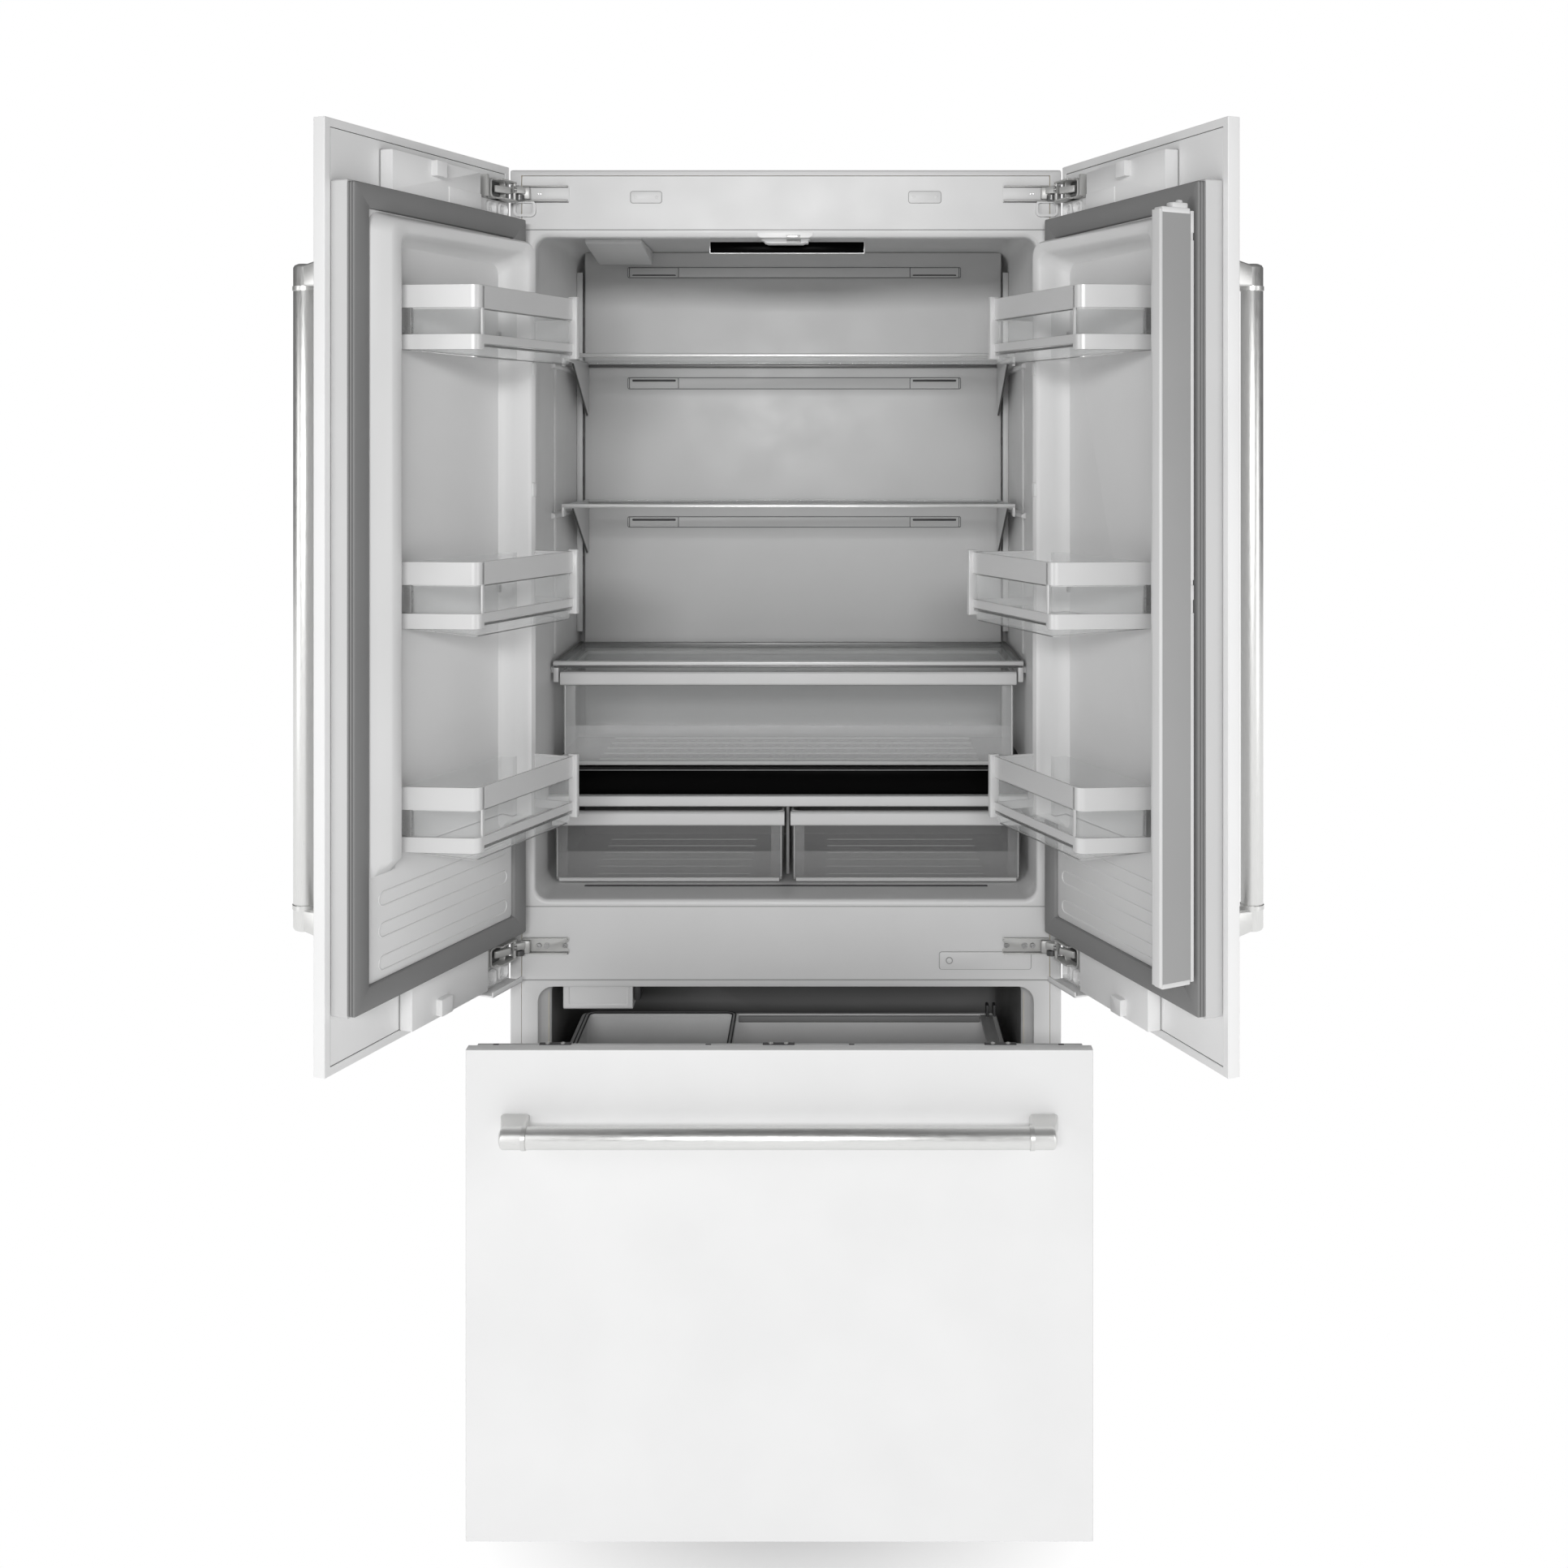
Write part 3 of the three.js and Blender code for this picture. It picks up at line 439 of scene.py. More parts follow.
# ---- shared shapes
def moulding(axis, rect, section, radius, closed=True):
    """A frame round the rectangle (a0, a1, b0, b1); its section is a list of (inset, depth) points."""
    a0, a1, b0, b1 = rect
    loops = []
    for inset, depth in section:
        corner = max(radius - inset, 0.4)
        loops.append(along(axis, rounded(a0 + inset, a1 - inset, b0 + inset, b1 - inset, corner), depth))
    return loft(loops, caps=not closed, closed=closed)


def bead(back, front, width):
    """A moulding's plain square section."""
    return [(0, back), (0, front), (width, front), (width, back)]


def tunnel(stations, **how):
    """A body through rounded rectangles (half width, bottom, top, radius, y), one behind the other."""
    loops = [along("y", rounded(-half, half, low, top, r), y) for half, low, top, r, y in stations]
    return loft(loops, **how)


def tub(x0, x1, y0, y1, z0, z1, wall=3, radius=12, foot=6, lean=0):
    """An open tub with a round floor edge; its walls slope in by lean towards the floor."""
    section = [
        (lean + foot, z0),
        (lean + foot * 0.3, z0 + foot * 0.3),
        (lean, z0 + foot),
        (0, z1),
        (wall, z1),
        (lean + wall, z0 + foot + wall * 0.4),
        (lean + foot + wall, z0 + wall),
    ]
    return moulding("z", (x0, x1, y0, y1), section, radius, closed=False)


def ribbon(outer, inner, low, high):
    """A wall along an open line, given by its two sides in plan; low and high may be lists along it."""
    lows = low if isinstance(low, list) else [low] * len(outer)
    highs = high if isinstance(high, list) else [high] * len(outer)
    return loft([[(*a, l), (*a, h), (*b, h), (*b, l)] for a, b, l, h in zip(outer, inner, lows, highs)])


def arch(left, right, low, top, radius, arc=ARC):
    """Up one side, round two corners and down the other, as (x, z) points."""
    points = [(left, low)]
    for x, start in ((left + radius, math.pi), (right - radius, math.pi / 2)):
        for i in range(arc + 1):
            angle = start - math.pi / 2 * i / arc
            points.append((x + radius * math.cos(angle), top - radius + radius * math.sin(angle)))
    points.append((right, low))
    return points


def screw(x, y, z, radius=3.6, height=2.0, facing=-1):
    """A socket screw's head that stands up from y."""
    section = [(0, 0), (radius, 0), (radius, height * 0.5), (radius * 0.85, height), (radius * 0.5, height),
               (radius * 0.42, height * 0.2), (0, height * 0.2)]
    return turned([(r, h * facing) for r, h in section], 20, "y", (x, y, z))


# ---- cabinet
def add_case():
    body = carve(slab(-446, 446, 0, 562, 104, 2126, 3, 3), slab(-444.6, 444.6, 1.4, 560.6, 105.4, 2124.6, 0))
    mouth = slab(-428, 428, -3, 6, 105.2, 2117, 0)
    louvres = [slab(-330, 330, 555, 570, 140 + i * 34, 158 + i * 34, 0) for i in range(5)]
    piece("cabinet_case", carve(body, mouth, *louvres), CABINET, SHEET, ["cabinet_shell"])
    cover = [prism("y", rounded(-385, 385, 345, 1980, 8), 561.8, 563.6, 0.6)]
    hoods = [prism("x", [(561.5, z), (565, z - 5), (565, z - 7), (561.5, z - 7)], -330, 330, 0.5)
             for z in (162, 196, 230, 264, 298)]
    screws = [screw(x, 563.5, z, 4.5, 2, 1) for x in (-370, 0, 370) for z in (360, 900, 1440, 1965)]
    piece("back_cover", merge(*cover, *hoods, *screws), CABINET, SHEET)


def front_plate(low, high):
    section = [(0, 3), (0, 0.8), (0.8, 0), (2, 0)]
    return moulding("y", (-427.2, 427.2, low, high), section, 2, closed=False)


def cover_plate(x0, x1, z0, z1):
    return prism("y", rounded(x0, x1, z0, z1, 4), -1.6, 0.2, 0.5)


def cover_line(x0, x1, z0, z1):
    """The thin shadow line round a cover plate."""
    return moulding("y", (x0 - 0.9, x1 + 0.9, z0 - 0.9, z1 + 0.9), bead(0.3, -0.3, 1.6), 4.5)


def add_front_plates():
    caps = [(-251, -201, 2072.6, 2091), (199, 251, 2072.6, 2091)]
    fascia = [front_plate(SEAM["fascia"] + 0.6, 2116.4)] + [cover_plate(*cap) for cap in caps]
    fascia.extend(screw(x, -1.5, 2082, 2.4, 0.8) for x0, x1, *_ in caps for x in (x0 + 8, x1 - 8))
    piece("fascia_plate", merge(*fascia), CABINET, FRAME, ["top_fascia"])
    socket = (248.8, 396.5, 832.7, 860.3)
    rail = [front_plate(SEAM["freezer"] + 0.6, SEAM["rail"] - 0.6), cover_plate(*socket)]
    rail.append(turned([(0, 0.2), (5, 0.2), (5, -2.4), (4, -3), (0, -3)], 24, "y", (264.5, 0, 847.2)))
    piece("middle_rail_plate", merge(*rail), CABINET, FRAME, ["middle_rail"])
    lines = [slab(-427, 427, 0.7, 2.6, z - 1, z + 1, 0.2)
             for z in (SEAM["fascia"], SEAM["rail"], SEAM["freezer"])]
    lines.extend(cover_line(*cap) for cap in (*caps, socket))
    lines.append(disc(5.6, -2.9, -1.5, 24, "y", (264.5, 0, 847.2)))
    piece("seam_lines", merge(*lines), CABINET, FLIPPER)


def add_fridge_liner():
    half, low, lip, top = LINER["half"], LINER["bottom"], LINER["lip"], LINER["ceiling"]
    body = tunnel([(409, 942, 2048, 24, 473), (409, 942, 2048, 24, 48), (408.8, 942.2, 2028, 22, 26),
                   (408.8, 942.2, 2028, 22, 3), (427.3, 934.8, 2028.2, 1.5, 3),
                   (427.3, 934.8, 2028.2, 1.5, 0), (413, 938, 2024, 27, 0), (409, 942, 2020, 23, 1),
                   (406.6, 944.4, 2017.6, 20.6, 3.5), (half, low, lip, 20, 7), (half, low, lip, 20, 24),
                   (half, low, lip + 3, 20, 28), (half, low, lip + 14, 21, 33),
                   (half, low, top - 5, 23, 39), (half, low, top, 24, 47), (half, low, top, 24, 452),
                   (404, low + 2, top - 2, 22, 462), (398, low + 8, top - 8, 18, 468),
                   (390, low + 16, top - 16, 12, 470)])
    piece("fridge_liner_shell", body, CABINET, PLASTIC, ["fridge_liner"], 50)
    ribs = []
    for side in (-1, 1):
        mirror = Matrix.Translation((side * (half - 0.2), 0, 0)) @ Matrix.Scale(side, 4, (1, 0, 0))
        shapes = [slab(-2.4, 0.6, y - 1.4, y + 1.4, 1320, 1822, 1.2) for y in (178, 184, 190)]
        for z in (1812, 1554, 1290):
            ledge = [(0.6, z), (-6, z + 1.5), (-7, z + 5), (-6, z + 8), (0.6, z + 11)]
            shapes.append(prism("y", ledge, 152, 424, 0.8))
        ribs.extend(moved(shape, mirror) for shape in shapes)
    piece("liner_ribs", merge(*ribs), CABINET, PLASTIC)


def add_freezer_liner():
    half, mouth, low, top = FREEZER["half"], FREEZER["mouth"], FREEZER["bottom"], FREEZER["top"]
    body = tunnel([(387, 342, 806.5, 18, 453), (387, 342, 806.5, 18, 356), (387, 147, 806.5, 18, 353),
                   (387, 147, 806.5, 18, 32), (half, low, top, 16, 32), (half, low, top, 16, 340),
                   (half, low + 8, top, 16, 346), (half, 330, top, 16, 350), (half, 345, top, 16, 356),
                   (half, 345, top, 16, 438), (380, 349, 799.5, 12, 447), (372, 357, 791.5, 8, 450)])
    # The freezer's inner box is painted dark as painted shade; its flange and mouth stay in the liner plastic
    piece("freezer_liner_shell", body, CABINET, FREEZER_SHADE, ["freezer_liner"], 50)
    stations = [(387, 147, 806.5, 18, 31.8), (404, 147, 806.5, 18, 28), (404, 147, 806.5, 18, 3),
                (427.3, 105.8, 814.1, 1.5, 3), (427.3, 105.8, 814.1, 1.5, 0), (404, 147, 806.5, 27, 0),
                (401.6, 149.4, 804.1, 24.6, 1), (mouth, low, top, 24, 3), (400, low, top - 1, 23, 8),
                (396, low, top - 2, 20, 16), (388, low, top - 1, 17, 23), (half, low, top, 16, 28),
                (half, low, top, 16, 31.8)]
    piece("freezer_mouth", tunnel(stations, caps=False, closed=True), CABINET, PLASTIC, smooth=50)


def add_air_panel():
    """The duct in front of the liner's back, with three strips of slots."""
    plate = slab(-393.6, 393.6, 440, 447, 945.6, 2044.4, 2.5, 3)
    face, half = 435.6, 46
    strips = []
    slots = []
    for z0, z1, slot in ((1997, 2015, 2000), (1787, 1807, 1802), (1526, 1544.6, 1539.6)):
        strips.append(prism("y", rounded(-311, 316, z0, z1, 2.5), face + 1, 441, 0.7))
        slots.append(moulding("y", (-312, 317, z0 - 1, z1 + 1), bead(440.4, 439, 1.6), 3))
        for x in (-262, 267):
            strips.append(moulding("y", (x - half, x + half, z0 + 0.6, z1 - 0.6),
                                   [(0, face + 1.4), (0.5, face), (2, face), (2.5, face + 1.4)], 2))
            slots.append(prism("y", rounded(x - half + 5, x + half - 5, slot - 2, slot + 2, 1.6),
                               face + 0.5, face + 2, 0.2))
            slots.extend(slab(x + end - 0.7, x + end + 0.7, face + 0.4, face + 2, z0 + 0.5, z1 - 0.5, 0.1)
                         for end in (-half, half))
    # The duct panel wears the darker copy of the liner plastic, a painted shade
    piece("air_duct_panel", merge(plate, *strips), CABINET, BACK, ["air_panel"])
    piece("air_slots", merge(*slots), CABINET, DARK)


def add_standard(side):
    """The slotted channel that carries the shelves, drawn for the left side."""
    channel = merge(slab(-405.6, -396, 424.4, 439.6, 1330.2, 2004.8, 1),
                    slab(-396.4, -394.9, 424.4, 428, 1330.2, 2004.8, 0.5))
    piece(f"{side}_standard_channel", channel, SIDES[side], PLASTIC, [f"{side}_shelf_standard"],
          slot="dark_grey")
    line = slab(-395.8, -395.2, 431, 434, 1332, 2003, 0.1)
    slots = (slab(-395.9, -394.8, 428.4, 436, z, z + 16, 0.6) for z in range(1380, 1980, 75))
    piece(f"{side}_standard_slots", merge(line, *slots), SIDES[side], DARK)


def shelf_bracket(front, back, top):
    """The outlines of a shelf's bracket and of a line along its slope painted dark, the painted shade of the
    edge-on bracket.
    """
    slope = [(front + 110, top - 12), (back - 10, top - 100)]
    shape = [(front + 6, top - 9), *slope, (back, top - 100), (back, top - 2), (front + 6, top - 2)]
    return shape, slope + [(y, z - 2.4) for y, z in reversed(slope)]


def add_shelf(name, top):
    front, back, half = 150, 436, 388
    glass = slab(-half + 3, half - 3, front + 3, back - 6, top - 5.6, top - 1.2, 0.8)
    piece(f"{name}_shelf_glass", glass, CABINET, GLASS, [f"{name}_shelf"])
    trims = [prism("x", rounded(front, front + 11, top - 6.6, top, 2.4, 3), -half, half, 0.4)]
    dark = []
    for x in (-half, half - 3):
        bracket, edge = shelf_bracket(front, back, top)
        trims.append(prism("x", bracket, x, x + 3, 0.8))
        trims.append(slab(x - 0.4, x + 3.4, front + 2, front + 24, top - 22, top - 0.4, 1.2))
        # The dark line along the bracket's slope: painted shade
        dark.append(prism("x", edge, x, x + 3, 0))
    piece(f"{name}_shelf_frame", merge(*trims), CABINET, SILVER)
    # The rear rail, together with the brackets' painted shade lines
    dark.append(prism("x", rounded(back - 9, back - 2, top - 11.5, top - 6, 1.6, 3), -half + 4, half - 4,
                      0.3))
    piece(f"{name}_shelf_rear_rail", merge(*dark), CABINET, DARK_NICKEL)
    # A brighter steel stripe along the middle of the trim's front: a painted highlight
    line = slab(-half + 2, half - 2, front - 0.5, front + 1, top - 5.2, top - 3.6, 0.4)
    piece(f"{name}_shelf_highlight_line", line, CABINET, STEEL_ACROSS)


def add_crisper_shelf():
    front, back, half, top = 140, 436, 401, CRISPER_SHELF
    piece("crisper_shelf_glass", slab(-half + 6, half - 6, front + 3, back - 6, top - 6, top - 1, 0.8),
          CABINET, GLASS, ["crisper_shelf"])
    bar = prism("x", rounded(front, front + 12, top - 7.5, top, 2.4, 3), -half, half, 0.4)
    ends = (slab(x, x + 9, front + 2, front + 26, top - 36, top - 1, 1.5) for x in (-half, half - 9))
    piece("crisper_shelf_trim", merge(bar, *ends), CABINET, SILVER)
    rails = [slab(x, x + 8, front + 12, back - 6, top - 11, top - 0.8, 1.5)
             for x in (-half + 0.5, half - 8.5)]
    rails.append(slab(-half + 8, half - 8, back - 14, back - 4, top - 12, top - 2, 1.5))
    rails.append(slab(-half + 1, half - 1, front + 0.6, front + 9, top - 11, top - 7.6, 0.6))
    piece("crisper_shelf_rails", merge(*rails), CABINET, DARK_NICKEL)


def add_drawer_box(name, ribs, material):
    """A clear tub with ribs on its floor and a light trim along its front's top."""
    place = Place(CABINET.matrix, name)
    x0, x1, front, back, low, top = DRAWERS[name]
    body = tub(x0 + 0.6, x1 - 0.6, front + 1, back, low, top - 1, 3, 8, 6, 2)
    piece(f"{name}_tub", body, place, material, [name])
    lines = [slab(x, x + 2.2, front + 5, front + 7, low + 8, top - 24, 0.5) for x in (x0 + 5, x1 - 7.2)]
    for i in range(ribs):
        y = front + 40 + i * (back - front - 80) / (ribs - 1)
        lines.append(prism("y", rounded(x0 + 60, x1 - 60, low + 2.8, low + 4.8, 0.8, 2), y, y + 4, 0.3))
    half_way = low + (top - low) * 0.42
    veils = [slab(x0 + 5, x1 - 5, front + 7, front + 8, low + 3, half_way, 0.2)]
    veils.extend(slab(x, x + 17, front + 9, front + 10, low + 4, top - 22, 0.2) for x in (x0 + 6, x1 - 23))
    piece(f"{name}_front_veil", merge(*veils), place, HAZE)
    lines.append(slab(x0 + 9, x1 - 9, front + 3, front + 7, low + 0.6, low + 7, 1))
    lines.append(moulding("z", (x0 + 1, x1 - 1, front, back + 1),
                          [(0, top - 6), (0, top - 1), (1, top), (3.6, top), (4.4, top - 1),
                           (4.4, top - 6)], 14))
    piece(f"{name}_rim", merge(*lines), place, CLEAR_EDGE)
    face = [(front + 2, top), (front - 9, top), (front - 12, top - 3), (front - 11, top - 20),
            (front - 8, top - 23), (front - 4, top - 21), (front - 3, top - 6), (front + 2, top - 5)]
    piece(f"{name}_trim", prism("x", face, x0, x1, 0.8), place, TRIM)


def add_crisper_cover():
    half = 405.6
    band = [prism("y", rounded(-half, half, 1087, 1131, 1.5, 3), 124, 131, 0.6),
            slab(-half, half, 126, 436, 1126, 1130.6, 0.8), slab(-half, half, 126, 436, 1072, 1077, 0.8)]
    piece("crisper_band", merge(*band), CABINET, BLACK, ["crisper_cover"])
    piece("crisper_band_line", slab(-half, half, 123.4, 126, 1129.4, 1130.4, 0.3), CABINET, FLIPPER,
          slot="black_gloss")
    face = [(134, 1089), (110, 1089), (108, 1087), (108, 1073), (110, 1071), (134, 1071)]
    piece("crisper_cover_trim", prism("x", face, -half, half, 0.8), CABINET, TRIM)
    piece("crisper_divider", slab(-2.6, 2.6, 112, 430, 957, 1072, 1), CABINET, RUBBER, slot="dark_grey")
    piece("crisper_floor_slot", slab(-338, 334, 79, 86, 945, 946, 0.2), CABINET, DARK)


def add_ceiling():
    top = LINER["ceiling"] - AIR
    sensor = prism("x", [(240, 2036), (400, 2018), (415, 2018), (415, top), (240, top)], -362, -262, 2.5, 3)
    window_frame = moulding("y", (-352, -300, 2022, 2034), [(0, 413), (0, 416), (1.2, 416), (2, 413)], 2)
    piece("sensor_cover", merge(sensor, window_frame), CABINET, TRIM, ["sensor_box"], slot="liner_white")
    housing = prism("x", [(73.4, 2001), (84, 1999.6), (121, 2032), (121, top), (73.4, top)], -128, 128, 1)
    piece("display_housing", housing, CABINET, PLASTIC, ["display_panel"])
    piece("display_strip", slab(-127.6, 127.6, 71.4, 74, 2000, 2018.4, 0.6), CABINET, BLACK)
    edge = moulding("y", (-128.6, 128.6, 1999.2, 2019.2), bead(74, 71.1, 0.9), 1.2)
    piece("display_edge", edge, CABINET, SILVER)
    wedge = [(-31, 2011), (28, 2011), (39, 2018), (39, 2026), (-42, 2026), (-42, 2018)]
    flange = [(-41, 2016.6), (38, 2016.6), (43.5, 2020), (43.5, 2026), (-46, 2026), (-46, 2020)]
    guide = [prism("y", wedge, 29, 58, 1), slab(-36, 36, 33, 56, 2012, top, 1.5),
             prism("y", flange, -0.4, 0.6, 0.2)]
    piece("guide_block", merge(*guide), CABINET, PAINT, ["mullion_guide"])
    insert = [slab(0.5, 24, 27.9, 31, 2011.8, 2024, 0.6), slab(0.5, 23.5, -0.45, 0, 2016.8, 2020.5, 0.1)]
    piece("guide_insert", merge(*insert), CABINET, RAIL, slot="flipper_grey")


def add_ice_maker():
    body = prism("x", rounded(34, 330, 755, 803, [6, 6, 1, 1]), -366, -252, 3, 3)
    inset = moulding("y", (-360, -258, 761, 797), [(0, 35), (0, 33), (2, 32.4), (4, 33), (4, 35)], 5)
    vents = [slab(-252.6, -251, 60 + i * 22, 74 + i * 22, 764, 792, 0.6) for i in range(11)]
    piece("ice_maker_body", merge(body, inset, *vents), CABINET, BASKET, ["ice_maker"])
    clip = slab(-250.5, -240, 40, 66, 768, 802, 2)
    piece("ice_maker_clip", clip, CABINET, DARK)


def add_freezer_rail(side):
    """A drawer slide's outer channel with its rivets, drawn for the left side."""
    profile = [(-383.7, 560), (-372.4, 560), (-372, 561), (-372, 565), (-372.6, 566), (-377.6, 566.4),
               (-378, 568), (-378, 594), (-377.6, 595.6), (-372.6, 596), (-372, 597), (-372, 601),
               (-372.4, 602), (-383.7, 602)]
    parts = [prism("y", profile, 24, 440, 0.4, 1)]
    parts.extend(turned([(0, 0), (4.5, 0), (4.5, 1), (3, 2), (0, 2)], 20, "x", (-378.1, y, 581))
                 for y in (60, 190, 320, 420))
    piece(f"{side}_freezer_slide", merge(*parts), SIDES[side], RAIL, [f"{side}_freezer_rail"])


def add_foot(side, end, y):
    section = [(0, 0), (20, 0), (22, 1.5), (22, 5), (20, 7), (12, 9), (9, 12), (8, 13)]
    section += [(8.4 if i % 2 else 7.6, 13 + i * 1.5) for i in range(1, 22)]
    section += [(14, 48), (14, 55), (8, 56), (8, 71), (0, 71)]
    mark = -400 if side == "left" else 400
    piece(f"{side}_{end}_levelling_foot", turned(section, 36, "z", (mark, y, 0)), CABINET, BLACK_STEEL,
          [f"{side}_{end}_foot"])


def add_underside():
    grille = slab(-438, 438, 16, 22, 10, 103.4, 1.5)
    slots = [prism("y", rounded(-396 + i * 67, -342 + i * 67, z, z + 12, 5.5), 10, 30, 0)
             for i in range(12) for z in (34, 60)]
    piece("toe_grille_plate", carve(grille, *slots), CABINET, DARK, ["toe_grille"])
    for side in SIDE_NAMES:
        add_foot(side, "front", 44)
        add_foot(side, "rear", 520)
    section = [(0, 0), (60, 0), (68, 4), (72, 14), (72, 62), (74, 64), (74, 68), (72, 70), (72, 100),
               (66, 116), (52, 127), (30, 131), (0, 132)]
    body = turned(section, 48, "z", (150, 470, 109.6))
    base = slab(50, 250, 400, 540, 105.8, 110, 2)
    ports = [turned([(0, 0), (5, 0), (5, 22), (7, 22), (7, 30), (0, 30)], 16, "z", (x, 470, 232))
             for x in (112, 188)]
    piece("compressor_pot", merge(body, base, *ports), CABINET, BLACK_STEEL, ["compressor"])


# ---- panels and doors
def add_panel(prefix, node, place, size):
    """A panel of folded sheet with a flange round the board in its back."""
    width, low, high = size["width"], size["bottom"], size["top"]
    body = prism("z", rounded(0, width, -20, -1.6, [2.5, 2.5, 0.6, 0.6]), low, high, 1.0)
    flange = moulding("y", (0, width, low, high), [(0, -1.8), (0, -0.6), (0.6, 0), (11.4, 0), (12, -0.6),
                                                   (12, -1.8)], 0.6)
    piece(f"{prefix}_panel_sheet", merge(body, flange), place, PAINT, [node])
    board = moulding("y", (13, width - 13, low + 13, high - 13),
                     [(0, -1.7), (0, -1), (0.4, -0.7), (1, -0.7)], 1, False)
    piece(f"{prefix}_panel_board", board, place, PAINT)
    seam = moulding("y", (11.8, width - 11.8, low + 11.8, high - 11.8), bead(-1.7, -1.2, 1.4), 1)
    piece(f"{prefix}_panel_seam", seam, place, DARK)


def add_gasket(prefix, node, place, rect):
    section = [(0, 28.4), (0, 30.6), (1.6, 31.2), (1.6, 32.4), (0, 33), (0, 35.4), (1.6, 36), (1.6, 37),
               (0, 37.6), (0.6, 39.4), (2, 40), (31.5, 40), (33, 38.6), (33, 28.4)]
    piece(f"{prefix}_seal", moulding("y", rect, section, 3.5), place, RUBBER, [node], 60)


def add_door_core(side, place):
    core = prism("y", rounded(12, 437, 897, 2045, 3), 0.4, 28, 1.2)
    piece(f"{side}_door_core", core, place, SIDE_FOAM, [f"{side}_door_body"])
    blocks = [prism("y", rounded(112, 330, 2045.3, 2104, 1), 0.4, 22, 1.2),
              prism("y", rounded(92, 285, 828, 896.7, 1), 0.4, 22, 1.2),
              prism("y", rounded(212, 238, 2079, 2103, 2), 20, 32, 1.2),
              prism("y", rounded(198, 226, 832, 857, 2), 20, 32, 1.2),
              slab(112, 195, 21, 23.2, 2046, 2070, 0.6)]
    piece(f"{side}_door_blocks", merge(*blocks), place, PAINT, slot="door_foam")
    edge = [(-0.9, 0.3), (-0.9, 0.9), (0.4, 0.9), (0.4, 0.3)]
    seams = [moulding("y", rect, edge, 1.4) for rect in ((112, 330, 2045.3, 2104), (92, 285, 828, 896.7))]
    piece(f"{side}_block_seams", merge(*seams), place, FLIPPER, slot="dark_grey")


def door_ridge(free):
    """The liner's raised border: sections (hinge side, free side, top, radius, depth) from outside in."""
    rows = [(46.5, free + 8, 2007, 26, 34.2), (49, free + 5, 2004, 26, 40), (51, free - 5, 2001, 25, 50),
            (54, free - 13, 1998, 24, 58), (57, free - 17, 1995, 22, 60), (68, free - 34, 1983, 20, 60),
            (72, 356, 1979, 20, 57.5), (75, 351, 1974, 20, 46), (78, 346, 1969, 19, 37),
            (83, 340, 1963, 18, 34.4)]
    base, rise, near, far = 34.2, 26, 62, 150

    def depth(x, t):
        """The border stands further out along the hinge side."""
        share = min(1, max(0, (far - x) / (far - near)))
        return t + rise * (t - base) / (60 - base) * share * share * (3 - 2 * share)

    paths = [arch(*row[:2], 1103, row[2], row[3]) for row in rows]
    last = len(paths[0]) - 1
    loops = []
    for k, index in enumerate([0, *range(last + 1), last]):
        foot = k in (0, last + 2)  # the border runs out into the flat liner below
        points = [(path[index], row[4]) for path, row in zip(paths, rows)]
        loop = [(x, base, 1080) if foot else (x, depth(x, t), z) for (x, z), t in points]
        loops.append([(loop[0][0], 33, loop[0][2])] + loop + [(loop[-1][0], 33, loop[-1][2])])
    return loft(loops)


def add_door_liner(side, place):
    free = {"left": 395, "right": 386}[side]
    base = prism("y", rounded(45.4, 403.6, 933.4, 2008.6, 6), 28.5, 34.3, 0.5)
    ovals = [moulding("y", (58, 378, z0, z0 + 22), [(0, 34), (0.6, 35.2), (1.8, 35.2), (2.6, 34)], 11)
             for z0 in (944, 990, 1034)]
    spans = [(low - 26, low - 6) for low, _ in BIN_LEVELS.values()] + [(1600, 1622)]
    bosses = [prism("y", rounded(57, 67, *span, 3), 83, 88, 1) for span in spans]
    piece(f"{side}_liner_shell", merge(base, door_ridge(free), *ovals, *bosses), place, DOOR_LINER,
          [f"{side}_door_liner"], 50)


def bin_line(front, inset):
    """A bin's outer wall in plan: a leaning near end, a round corner, the long side and the far end."""
    near, lean, radius, pillar = BIN["near"], BIN["lean"], BIN["radius"], BIN["pillar"]
    angle = math.atan(lean)
    turn_t = front - radius
    turn_s = near - lean * (turn_t + radius * math.sin(angle) - BIN["back"]) - radius * math.cos(angle)
    points = [(near - inset / math.cos(angle), BIN["back"])]
    for i in range(BIN_ARC + 1):
        at = angle + (math.pi / 2 - angle) * i / BIN_ARC
        points.append((turn_s + (radius - inset) * math.cos(at), turn_t + (radius - inset) * math.sin(at)))
    points.append((turn_s - pillar, front - inset))
    points.append((BIN["far"] + inset, front - inset))
    points.append((BIN["far"] + inset, BIN["step"]))
    return points


def bin_plan(front, inset):
    """A bin's whole outline in plan: it steps over the liner's border at its far end."""
    ledge = BIN["far"] + 24 + inset
    return bin_line(front, inset) + [(ledge, BIN["step"]), (ledge, BIN["back"] - 1 + inset)]


def sloping(points, front, z, drop):
    """Lifts a plan to z at the door's liner, and down by drop towards the bin's front."""
    back = BIN["back"]
    return [(s, t, z - drop * max(0, t - back) / (front - back)) for s, t in points]


